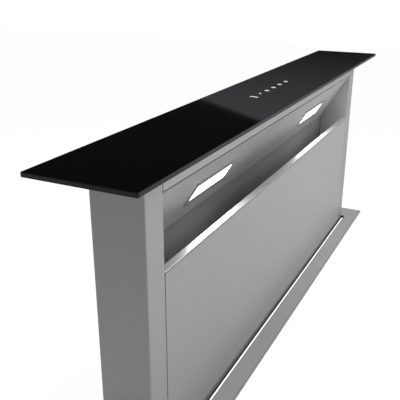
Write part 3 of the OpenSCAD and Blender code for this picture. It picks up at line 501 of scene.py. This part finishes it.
def smoother_above(mat, z, roughness, metallic):
    tree = mat.node_tree
    shader = tree.nodes["Principled BSDF"]
    above = maths(tree, "GREATER_THAN", coordinate(tree, "Z"), z)
    for socket, value in (("Roughness", roughness), ("Metallic", metallic)):
        level = tree.nodes.new("ShaderNodeMix")
        level.inputs["A"].default_value = shader.inputs[socket].default_value
        if shader.inputs[socket].is_linked:
            tree.links.new(shader.inputs[socket].links[0].from_socket, level.inputs["A"])
        level.inputs["B"].default_value = value
        tree.links.new(above, level.inputs["Factor"])
        tree.links.new(level.outputs["Result"], shader.inputs[socket])


smoother_above(panel_painted_light_steel, PANEL_TOP - LIP_TURN, 0.40, 0.55)
# Painted shade and painted highlight: a thin dark line just under the lip, and a paler band at its top.
toned_along(
    panel_painted_light_steel, "Z", PANEL_TOP - LIP_PAINTED_BAND, PANEL_TOP, [(0.0, 1.0), (0.47, 0.42), (0.80, 1.40)], steps="CONSTANT"
)
print("lip is smooth above", round(PANEL_TOP - LIP_TURN, 4))

# %% [markdown]
# Galvanised sheet shows its zinc crystals as a faint patchwork of greys. A Voronoi texture gives each crystal one
# tone, and a soft noise over it stands for handling marks.

# %% Galvanised sheet
ZINC = (0.46, 0.47, 0.49)
galvanised = finish("galvanised", ZINC, metallic=0.85, roughness=0.42)
pattern(galvanised, (90, 90, 90), 0.10, 0.06, kind="cells")
pattern(galvanised, (6, 6, 6), 0.06)
print("zinc", ZINC)

# %% [markdown]
# The moulded, painted and rubber parts are dark and matt. Each has a fine grain from its mould or its paint.

# %% Plastics, paints and rubbers
GRAIN = (900, 900, 900)
moulded_black = grained("moulded_black", (0.022, 0.022, 0.024), 0.52, GRAIN, (0.25, 0.08, 0.00004))
moulded_grey = grained("moulded_grey", (0.16, 0.16, 0.17), 0.55, GRAIN, (0.12, 0.06, 0.00004))
impeller_black = grained("impeller_black", (0.05, 0.053, 0.058), 0.42, (500, 500, 500), (0.2, 0.06, 0.00002))
motor_paint = grained("motor_paint", (0.05, 0.052, 0.056), 0.38, (700, 700, 700), (0.15, 0.07, 0.00005))
# Painted light: the white cap of the wiper glows a little, though it is no lamp.
seal_white_painted_glow = grained(
    "seal_white_painted_glow", (0.94, 0.94, 0.93), 0.5, (40, 400, 400), (0.03, 0.05, 0.00002),
    Emission_Color=(1, 1, 1, 1), Emission_Strength=0.8,
)
belt_rubber = grained("belt_rubber", (0.018, 0.018, 0.019), 0.68, (600, 600, 600), (0.25, 0.06, 0.00005))
board_green = grained("board_green", (0.02, 0.16, 0.07), 0.35, (300, 300, 300), (0.2, 0.05, 0.00002))
board_white = grained("board_white", (0.8, 0.8, 0.76), 0.45, (300, 300, 300), (0.06, 0.05, 0.00002))
print("materials so far", len(bpy.data.materials))

# %% [markdown]
# Bare metal is fully metallic, so its colour shows only in what it reflects, and a low roughness keeps that crisp. The
# lamp frames are set much duller.

# %% Metals
turned_steel = grained("turned_steel", (0.56, 0.56, 0.57), 0.26, GRAIN, (0.06, 0.08, 0.00001), metallic=1.0)
machined_aluminium = grained(
    "machined_aluminium", (0.62, 0.62, 0.63), 0.32, (1200, 1200, 1200), (0.06, 0.08, 0.00001), metallic=1.0
)
lamp_frame = grained("lamp_frame", (0.43, 0.42, 0.40), 0.45, (700, 700, 700), (0.08, 0.05, 0.00002), metallic=0.3)
print("metals", [mat.name for mat in (turned_steel, machined_aluminium, lamp_frame)])

# %% [markdown]
# The lamp lens is opal plastic lit from behind. It gives off a little more than white, so that it reads as lit and
# throws a soft gleam on the lip below it.

# %% Lit lens
LENS_GLOW = 4.0
lit_lens = grained(
    "lit_lens", (0.95, 0.95, 0.93), 0.4, (250, 250, 250), (0.04, 0.05),
    Emission_Color=(1, 0.99, 0.96, 1), Emission_Strength=LENS_GLOW,
)
print("the lenses glow at", LENS_GLOW)

# %% [markdown]
# The frame of a grease filter is rolled aluminium, finely streaked along its length.

# %% Filter frame
filter_frame = grained("filter_frame", (0.60, 0.60, 0.61), 0.36, (5, 700, 700), (0.08, 0.08, 0.00001), metallic=1.0)
print(filter_frame.name, "is streaked along X")

# %% [markdown]
# In the photograph the faces of the column that look forward get a little paler towards the top, and the panel does
# towards its far end too. The strip under the glass is paler than both, with a dark line along its foot. That is light,
# not metal, and it is set here as a tone of their finish.

# %% Paler towards the top
front_steel = column_steel.copy()
front_steel.name = "front_steel"
GLASS_FOOT_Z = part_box("glass_top")[0].z
PANEL_PALES_X = (-0.25, 0.1)
for mat in (front_steel, panel_painted_light_steel):
    toned_along(mat, "Z", 0.0, GLASS_FOOT_Z, [(0.0, 0.80), (1.0, 1.20)])
toned_along(panel_painted_light_steel, "X", *PANEL_PALES_X, [(0.0, 1.0), (1.0, 1.10)])
rail_steel = column_steel.copy()
rail_steel.name = "rail_steel"
RAIL_FOOT, FOOT_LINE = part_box("head_rail")[0].z, 0.0012
toned_along(rail_steel, "Z", RAIL_FOOT, RAIL_FOOT + 2 * FOOT_LINE, [(0.0, 0.35), (0.50, 1.32)], steps="CONSTANT")
print("tones run up to", round(GLASS_FOOT_Z, 4))

# %% [markdown]
# The record gives each node a slot, and each slot has one finish here. Three nodes of the column then get their toned
# steels. A post gets three: the slot's own, one that pales upwards on its forward faces, and a pale one inside; both
# are painted light.

# %% Finishes by the record's slots
BY_SLOT = {
    "brushed_steel": column_steel, "liner_steel": liner_steel, "flange_steel": flange_steel,
    "lamp_frame": lamp_frame, "lamp_diffuser": lit_lens, "white_board": board_white, "green_board": board_green,
    "filter_aluminium": filter_frame, "bright_metal": turned_steel, "magnet_holder": moulded_black,
    "white_rubber": belt_rubber, "black_rubber": belt_rubber, "galvanised_sheet": galvanised,
    "black_plastic": moulded_black, "grey_plastic": moulded_grey, "flap_plastic": moulded_grey,
    "impeller_plastic": impeller_black, "pulley_aluminium": machined_aluminium, "motor_grey": motor_paint,
}
for part in frame["record"]["subparts"]:
    if part["material_slot"] in BY_SLOT:
        mesh = nodes[part["node"]].data
        mesh.materials.clear()
        mesh.materials.append(BY_SLOT[part["material_slot"]])
for name, steel in (("front_panel", panel_painted_light_steel), ("intake_liner", intake_painted_shade_steel), ("head_rail", rail_steel)):
    mesh = nodes[name].data
    mesh.materials.clear()
    mesh.materials.append(steel)
FACING = 0.9
for name, side in (("end_post_left", -1), ("end_post_right", 1)):
    mesh = nodes[name].data
    mesh.materials.append(front_steel)
    mesh.materials.append(inner_painted_light_steel)
    for face in mesh.polygons:
        forward, inward = face.normal.y < -FACING, face.normal.x * side < -FACING
        face.material_index = 1 if forward else 2 if inward else 0
print(len(BY_SLOT), "finishes on", len(nodes), "nodes")

# %% [markdown]
# ## Glass top
# The top is one sheet of black glass with rounded corners and ground edges. It is cut here from a block: the four
# upright edges are rounded first, then the rim above and below gets a narrow arris. The black print is under the
# glass, so the face is a deep gloss black, while the ground edge scatters light and looks grey.

# %% Glass finishes
glass_black = finish("glass_black", (0.0035, 0.0035, 0.004), roughness=0.045, IOR=1.5)
pattern(glass_black, (30, 30, 30), 0.15, 0.01)
glass_edge = finish("glass_edge", (0.011, 0.012, 0.012), roughness=0.42, IOR=1.33)
pattern(glass_edge, (500, 500, 2500), 0.12, 0.08)
print("glass", [mat.name for mat in (glass_black, glass_edge)])

# %% Glass plate
CORNER, ARRIS, FLAT, TINY = 0.002, 0.0004, 0.99, 1e-6


def extent(edge, axis):
    first, second = edge.verts
    return abs(first.co[axis] - second.co[axis])


def rounded(bm, edges, radius, segments):
    bmesh.ops.bevel(bm, geom=edges, offset=radius, segments=segments, profile=0.5, affect="EDGES", material=-1)


low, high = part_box("glass_top")
bm = bmesh.new()
block(bm, low, high)
rounded(bm, [e for e in bm.edges if extent(e, 2) > TINY], CORNER, 5)
rounded(bm, [e for e in bm.edges if extent(e, 2) < TINY], ARRIS, 2)
for face in bm.faces:
    face.material_index = 0 if abs(face.normal.z) > FLAT else 1
glass = made("glass_plate", bm, glass_black, glass_edge)
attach(glass, "column")
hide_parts("glass_top")
print("glass plate", [round(v, 4) for v in high - low])

# %% [markdown]
# The touch control shows as a row of small printed marks on the middle line of the glass: a two-part sign, a dot and
# four short dashes. Each mark is made of flat ovals that lie a hair above the glass.

# %% Touch marks
# Painted light: the printed marks glow faintly, though a print gives off no light.
mark_white_painted_glow = grained(
    "mark_white_painted_glow", (0.9, 0.9, 0.91), 0.4, (300, 300, 300), (0.05, 0.05),
    Emission_Color=(1, 1, 1, 1), Emission_Strength=0.25,
)
bm = bmesh.new()
PRINT, MARK_TURN = 0.00003, math.radians(26.4)


def oval(x, y, length, depth):
    lie = Matrix.Translation((x, y, GLASS_TOP_Z + PRINT)) @ Matrix.Rotation(MARK_TURN, 4, "Z")
    bmesh.ops.create_circle(
        bm, cap_ends=True, radius=0.5, segments=32, matrix=lie @ Matrix.Diagonal((length, depth, 1, 1))
    )


KEYS_X, STROKE_DOTS = (0.0662, 0.0391, 0.0122, -0.0145), 4
for x in KEYS_X:
    oval(x, -0.0007, 0.0090, 0.0068)
oval(-0.0381, 0.0004, 0.0080, 0.0030)
oval(-0.0633, 0.0029, 0.0050, 0.0052)
stroke = [Vector(v) for v in ((-0.0620, 0.0008), (-0.0640, -0.0022), (-0.0655, -0.0050), (-0.0622, -0.0062))]
for first, last in zip(stroke, stroke[1:]):
    for i in range(STROKE_DOTS):
        oval(*first.lerp(last, i / STROKE_DOTS), 0.0036, 0.0017)
marks = made("touch_marks", bm, mark_white_painted_glow)
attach(marks, "column")
print("touch keys", [round(a - b, 4) for a, b in zip(KEYS_X, KEYS_X[1:])], "m apart")

# %% [markdown]
# ## Grease filters
# Behind the front panel lean two cassettes: an aluminium frame round a coarse grid. Real ones hold layers of expanded
# mesh, so one layer is laid into the recess on each face. It starts as a flat grid that is turned by 45 degrees and
# pressed to flat diamonds, is cut to the opening with four planes, and its edges are then given thickness with the
# wireframe operator.

# %% Where a cassette lies
FILTER = {"y": -0.016, "z": 0.017, "height": 0.15074, "thickness": 0.009, "frame": 0.009}
filter_low, filter_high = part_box("filter_left")
diagonal = math.hypot(FILTER["height"], FILTER["thickness"])
lean = math.asin((filter_high.y - filter_low.y) / diagonal) - math.atan2(FILTER["thickness"], FILTER["height"])
UP = Vector((0, math.sin(lean), math.cos(lean)))
OUT = Vector((0, -math.cos(lean), math.sin(lean)))
print("cassettes lean back by", round(math.degrees(lean), 2), "degrees")


def on_cassette(x, up, out):
    return Vector((x, FILTER["y"], FILTER["z"])) + UP * up + OUT * out


# %% Expanded mesh
mesh_metal = grained("mesh_metal", (0.60, 0.60, 0.61), 0.34, (400, 400, 400), (0.10, 0.08), metallic=1.0)
SHEET_HALF, STRAND, MESH_DEPTH = 0.26, 0.0009, 0.0007
DIAMONDS = Matrix.Diagonal((1, 0.5, 1, 1)) @ Matrix.Rotation(math.pi / 4, 4, "Z")
LEANING = Matrix(((1, 0, 0, 0), (0, UP.y, OUT.y, 0), (0, UP.z, OUT.z, 0), (0, 0, 0, 1)))


def expanded_mesh(side, face, depth, cells):
    low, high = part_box("filter_" + side)
    half_l = (high.x - low.x) / 2 - FILTER["frame"]
    half_h = FILTER["height"] / 2 - FILTER["frame"]
    middle = on_cassette((low.x + high.x) / 2, FILTER["height"] / 2, -depth)
    bm = bmesh.new()
    bmesh.ops.create_grid(bm, x_segments=cells, y_segments=cells, size=SHEET_HALF, matrix=DIAMONDS)
    for normal, reach in (((1, 0, 0), half_l), ((-1, 0, 0), half_l), ((0, 1, 0), half_h), ((0, -1, 0), half_h)):
        everything = bm.verts[:] + bm.edges[:] + bm.faces[:]
        plane = Vector(normal) * reach
        bmesh.ops.bisect_plane(bm, geom=everything, plane_co=plane, plane_no=normal, clear_outer=True)
    bmesh.ops.wireframe(
        bm, faces=bm.faces[:], thickness=STRAND, use_replace=True, use_boundary=True, use_even_offset=False
    )
    bmesh.ops.transform(bm, matrix=Matrix.Translation(middle) @ LEANING, verts=bm.verts)
    piece = made(f"filter_mesh_{side}_{face}", bm, mesh_metal)
    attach(piece, "column")
    print(piece.name, len(piece.data.polygons), "faces")


for side in ("left", "right"):
    expanded_mesh(side, "front", MESH_DEPTH, 74)
    expanded_mesh(side, "rear", FILTER["thickness"] - MESH_DEPTH, 56)

# %% [markdown]
# ## Seams of the front panel
# The photograph shows a fine pale line beside the front panel. Here a thin pale strip in the gap between each end post
# and the panel gives that line.

# %% Strips beside the panel
panel_low, panel_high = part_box("front_panel")
post_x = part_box("end_post_right")[0].x
STRIP = {"clear": 0.0001, "front": panel_low.y + 0.0005, "rear": panel_low.y + 0.0040, "shorter": 0.001}
bm = bmesh.new()
for side in (-1, 1):
    near, far = sorted((side * (panel_high.x + STRIP["clear"]), side * post_x))
    block(
        bm, (near, STRIP["front"], panel_low.z + STRIP["shorter"]),
        (far, STRIP["rear"], panel_high.z - STRIP["shorter"]),
    )
# Painted highlight: the pale strip stands for the light caught on the panel's bent edge.
strip_painted_highlight = grained("strip_painted_highlight", (0.62, 0.62, 0.62), 0.6, (400, 400, 60), (0.15, 0.08, 0.00002))
strips = made("panel_strips", bm, strip_painted_highlight)
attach(strips, "column")
print("panel strips", round(post_x - panel_high.x, 5), "m wide")

# %% [markdown]
# ## Slot round the column
# The wiper in the slot is dark rubber with a white cap, which shows as a bright line; the cap also glows a little,
# which is painted light. Along the edge of the flange's opening lies a fine dark line, which is painted shade.

# %% Wiper caps and the opening's edge
wiper_low, wiper_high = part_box("wiper_seals")
CAP_WIDTH, CAP_DEPTH, CAP_PROUD = 0.0021, 0.0008, 0.00005
bm = bmesh.new()
for side in (-1, 1):
    near, far = sorted((side * wiper_high.y, side * (wiper_high.y - CAP_WIDTH)))
    block(bm, (wiper_low.x, near, wiper_high.z - CAP_DEPTH), (wiper_high.x, far, wiper_high.z + CAP_PROUD))
caps = made("wiper_caps", bm, seal_white_painted_glow)

# Painted shade: a thin dark sheet along the edge of the opening stands for the shade in the slot.
edge_painted_shade = grained("edge_painted_shade", (0.13, 0.13, 0.135), 0.5, (60, 600, 600), (0.2, 0.1), metallic=0.3)
LINE, HAIR = 0.0007, 0.00002
HALF_X, HALF_Y = wiper_high.x + 0.0128, wiper_high.y + 0.0003
bm = bmesh.new()
for side in (-1, 1):
    near, far = sorted((side * HALF_Y, side * (HALF_Y + LINE)))
    block(bm, (-HALF_X, near, flange_high.z - HAIR), (HALF_X, far, flange_high.z + HAIR))
    near, far = sorted((side * HALF_X, side * (HALF_X + LINE)))
    block(bm, (near, -HALF_Y, flange_high.z - HAIR), (far, HALF_Y, flange_high.z + HAIR))
edge_line = made("opening_edge", bm, edge_painted_shade)
for piece, slot in ((caps, "white_rubber"), (edge_line, "flange_steel")):
    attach(piece, "chassis")
print("wiper caps", round(wiper_high.x - wiper_low.x, 3), "m long")

# %% [markdown]
# ## Screws and rivets
# Screws and rivets are round, so each is spun from a profile about its axis, and its open foot is closed with one
# face. The same helpers do that for both.

# %% Spun shapes
def spun(profile, steps):
    bm = bmesh.new()
    chain = [bm.verts.new((r, 0, z)) for r, z in profile]
    edges = [bm.edges.new(pair) for pair in zip(chain, chain[1:])]
    bmesh.ops.spin(
        bm, geom=chain + edges, cent=(0, 0, 0), axis=(0, 0, 1), angle=2 * math.pi, steps=steps, use_merge=True
    )
    return bm


def open_edges(bm):
    return [e for e in bm.edges if len(e.link_faces) == 1]


def closed(bm, foot):
    bmesh.ops.contextual_create(bm, geom=foot)
    bmesh.ops.recalc_face_normals(bm, faces=bm.faces)
    return bm


# %% [markdown]
# A pan head with a cross recess is built once: its rounded side is spun from four points, its top is filled between the
# rim and a cross-shaped outline, and the recess gets walls and a floor. The template is later copied to every seat.

# %% Pan head with a cross recess
def pan_head(radius, height, shank_radius=0.0, shank_length=0.0):
    profile = [(radius, 0), (radius, 0.35 * height), (0.93 * radius, 0.7 * height), (0.62 * radius, height)]
    if shank_length:
        profile = [(shank_radius, -shank_length), (shank_radius, 0)] + profile
    bm = spun(profile, 24)
    rim = [e for e in open_edges(bm) if min(v.co.z for v in e.verts) > 0.9 * height]
    foot = [e for e in open_edges(bm) if max(v.co.z for v in e.verts) < 0.1 * height]
    arm, half = 0.42 * radius, 0.10 * radius
    cross = [(half, half), (half, arm), (-half, arm), (-half, half), (-arm, half), (-arm, -half),
             (-half, -half), (-half, -arm), (half, -arm), (half, -half), (arm, -half), (arm, half)]
    upper = [bm.verts.new((x, y, height)) for x, y in cross]
    lower = [bm.verts.new((x, y, 0.45 * height)) for x, y in cross]
    outline = [bm.edges.new((upper[i - 1], upper[i])) for i in range(len(cross))]
    bmesh.ops.triangle_fill(bm, edges=rim + outline, use_beauty=True)
    for i in range(len(cross)):
        bm.faces.new((upper[i - 1], upper[i], lower[i], lower[i - 1]))
    bm.faces.new(lower)
    return closed(bm, foot)


# %% [markdown]
# A blind rivet has a low dome with a small dimple, where its mandrel broke off.

# %% Blind rivet
def rivet(radius, height):
    profile = [(radius, 0), (0.94 * radius, 0.45 * height), (0.7 * radius, 0.85 * height), (0.4 * radius, height),
               (0.3 * radius, 0.7 * height), (0, 0.65 * height)]
    bm = spun(profile, 20)
    bmesh.ops.remove_doubles(bm, verts=bm.verts, dist=TINY)
    return closed(bm, open_edges(bm))


# %% [markdown]
# A template is added once per seat and turned to look outwards. Each copy is also turned about its own axis, because
# the recesses of real screws seldom line up.

# %% Copies at every seat
TURN_EACH = 0.7


def at_seats(name, template, seats, mat, body):
    mesh = bpy.data.meshes.new(name + "_one")
    template.to_mesh(mesh)
    template.free()
    bm = bmesh.new()
    for number, (seat, outward) in enumerate(seats):
        first = len(bm.verts)
        bm.from_mesh(mesh)
        bm.verts.ensure_lookup_table()
        turn = Vector(outward).to_track_quat("Z", "Y").to_matrix().to_4x4()
        spin = Matrix.Rotation(TURN_EACH * number, 4, "Z")
        bmesh.ops.transform(bm, matrix=Matrix.Translation(seat) @ turn @ spin, verts=bm.verts[first:])
    bpy.data.meshes.remove(mesh)
    piece = made(name, bm, mat)
    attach(piece, body)
    print(name, len(seats), "pieces")
    return piece


# %% [markdown]
# The eight screws of the blower's lid stand for the plain ones of the record. The others are extra: they hold the
# control box's lid, the blanking plate and the brackets.

# %% Screws
screw_low, screw_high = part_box("lid_screws")
lid_low, lid_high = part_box("blower_lid")
HEAD, HEAD_RADIUS, SHANK_RADIUS = lid_low.y - screw_low.y, 0.004, 0.0019
LID_COLUMNS = 4
first_x, last_x = screw_low.x + HEAD_RADIUS, screw_high.x - HEAD_RADIUS
seats = [
    ((first_x + (last_x - first_x) * i / (LID_COLUMNS - 1), lid_low.y, z), (0, -1, 0))
    for i in range(LID_COLUMNS) for z in (screw_low.z + HEAD_RADIUS, screw_high.z - HEAD_RADIUS)
]
screws = at_seats(
    "lid_screw_set", pan_head(HEAD_RADIUS, HEAD, SHANK_RADIUS, screw_high.y - lid_low.y), seats, turned_steel,
    "chassis",
)
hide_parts("lid_screws")

# %% Small screws
plate_low, plate_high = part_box("blanking_plate")
control_low, control_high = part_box("control_box")
bracket_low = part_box("fixing_brackets")[0]
chassis_low, chassis_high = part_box("chassis_rear")
PLATE_MARGIN, CONTROL_MARGIN, CONTROL_LID = 0.009, 0.008, 0.0012
BRACKET = {"sheet": 0.002, "screw_y": 0.02, "screw_up": 0.013}


def inset(low, high, margin):
    return [(x, z) for x in (low.x + margin, high.x - margin) for z in (low.z + margin, high.z - margin)]


lid_face = control_low.y - CONTROL_LID
seats = [((x, plate_high.y, z), (0, 1, 0)) for x, z in inset(plate_low, plate_high, PLATE_MARGIN)]
seats += [((x, lid_face, z), (0, -1, 0)) for x, z in inset(control_low, control_high, CONTROL_MARGIN)]
seats += [
    ((side * (chassis_high.x + BRACKET["sheet"]), y, bracket_low.z + BRACKET["screw_up"]), (side, 0, 0))
    for side in (-1, 1) for y in (-BRACKET["screw_y"], BRACKET["screw_y"])
]
at_seats("small_screws", pan_head(radius=0.0032, height=0.0017), seats, turned_steel, "chassis")

# %% [markdown]
# Eight small rivets stand in a ring round the outlet collar. Larger ones run up both ends of the chassis, on its front
# and on its rear, and one row runs along the foot of the rear.

# %% Rivets
COLLAR = {"rivets": 8, "ring": 0.0770, "sheet": 0.0015}
box_low, box_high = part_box("blower_box")
collar_low, collar_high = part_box("outlet_collar")
collar_middle = (collar_low + collar_high) / 2
seats = []
for i in range(COLLAR["rivets"]):
    turn = math.pi * (2 * i + 1) / COLLAR["rivets"]
    y, z = collar_middle.y + COLLAR["ring"] * math.cos(turn), collar_middle.z + COLLAR["ring"] * math.sin(turn)
    seats.append(((box_high.x + COLLAR["sheet"], y, z), (1, 0, 0)))
at_seats("rivets", rivet(radius=0.0016, height=0.0007), seats, turned_steel, "chassis")

END_ROW = {"margin": 0.0075, "start": 0.022, "pitch": 0.1, "count": 7}
FOOT_ROW = {"up": 0.010, "start": -0.38, "pitch": 0.095, "count": 9}
seats = [
    ((x, side * chassis_high.y, chassis_low.z + END_ROW["start"] + END_ROW["pitch"] * i), (0, side, 0))
    for side in (-1, 1) for x in (chassis_low.x + END_ROW["margin"], chassis_high.x - END_ROW["margin"])
    for i in range(END_ROW["count"])
]
seats += [
    ((FOOT_ROW["start"] + FOOT_ROW["pitch"] * i, chassis_high.y, chassis_low.z + FOOT_ROW["up"]), (0, 1, 0))
    for i in range(FOOT_ROW["count"])
]
at_seats("chassis_rivets", rivet(radius=0.0030, height=0.0010), seats, galvanised, "chassis")

# %% [markdown]
# ## Pressed beads
# Large sheets get shallow beads that keep them from drumming. A bead is half a sphere that is pulled apart in the
# middle and flattened, and four of them make a frame.

# %% Beads
BEAD_RADIUS, BEAD_HEIGHT = 0.0045, 0.0012


def bead(bm, middle, along, outward, length):
    along, outward = Vector(along), Vector(outward)
    across = outward.cross(along)
    reach = length / 2 - BEAD_RADIUS
    for v in bmesh.ops.create_uvsphere(bm, u_segments=24, v_segments=12, radius=BEAD_RADIUS)["verts"]:
        x, y, z = v.co
        x += math.copysign(reach, x) if abs(x) > TINY else 0
        v.co = Vector(middle) + along * x + across * y + outward * (max(z, 0) * BEAD_HEIGHT / BEAD_RADIUS)


def bead_frame(bm, middle, half_l, half_h, outward):
    across, up = Vector((1, 0, 0)), Vector((0, 0, 1))
    for side in (-1, 1):
        bead(bm, Vector(middle) + up * side * half_h, across, outward, 2 * half_l)
        bead(bm, Vector(middle) + across * side * half_l, up, outward, 2 * half_h)


bm = bmesh.new()
lid_middle = ((lid_low.x + lid_high.x) / 2, lid_low.y, (lid_low.z + lid_high.z) / 2)
bead_frame(bm, lid_middle, 0.185, 0.100, (0, -1, 0))
bead_frame(bm, lid_middle, 0.155, 0.070, (0, -1, 0))
for x in (-0.27, 0.27):
    bead(bm, (x, chassis_high.y, -0.22), (0, 0, 1), (0, 1, 0), 0.30)
for z in (-0.12, -0.24):
    bead(bm, (0, -chassis_high.y, z), (1, 0, 0), (0, -1, 0), 0.62)
for y in (-0.205, -0.105):
    bead(bm, (0, y, box_high.z), (1, 0, 0), (0, 0, 1), 0.38)
bead(bm, (box_low.x, -0.155, -0.50), (0, 0, 1), (-1, 0, 0), 0.22)
beads = made("pressed_beads", bm, galvanised)
for face in beads.data.polygons:
    face.use_smooth = True
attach(beads, "chassis")
print("beads", len(beads.data.polygons), "faces")

# %% [markdown]
# The control box is closed by a flat lid with rounded corners, and its seam shows as a thin shadow line.

# %% Lid of the control box
bm = bmesh.new()
SEAM, SHADOW_GAP, LID_CORNER = 0.0015, 0.00005, 0.003
block(
    bm, (control_low.x + SEAM, lid_face, control_low.z + SEAM),
    (control_high.x - SEAM, control_low.y - SHADOW_GAP, control_high.z - SEAM),
)
rounded(bm, [e for e in bm.edges if extent(e, 1) > TINY], LID_CORNER, 5)
control_lid = made("control_lid", bm, moulded_grey)
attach(control_lid, "chassis")
print("control lid", round(control_high.x - control_low.x - 2 * SEAM, 3), "m long")
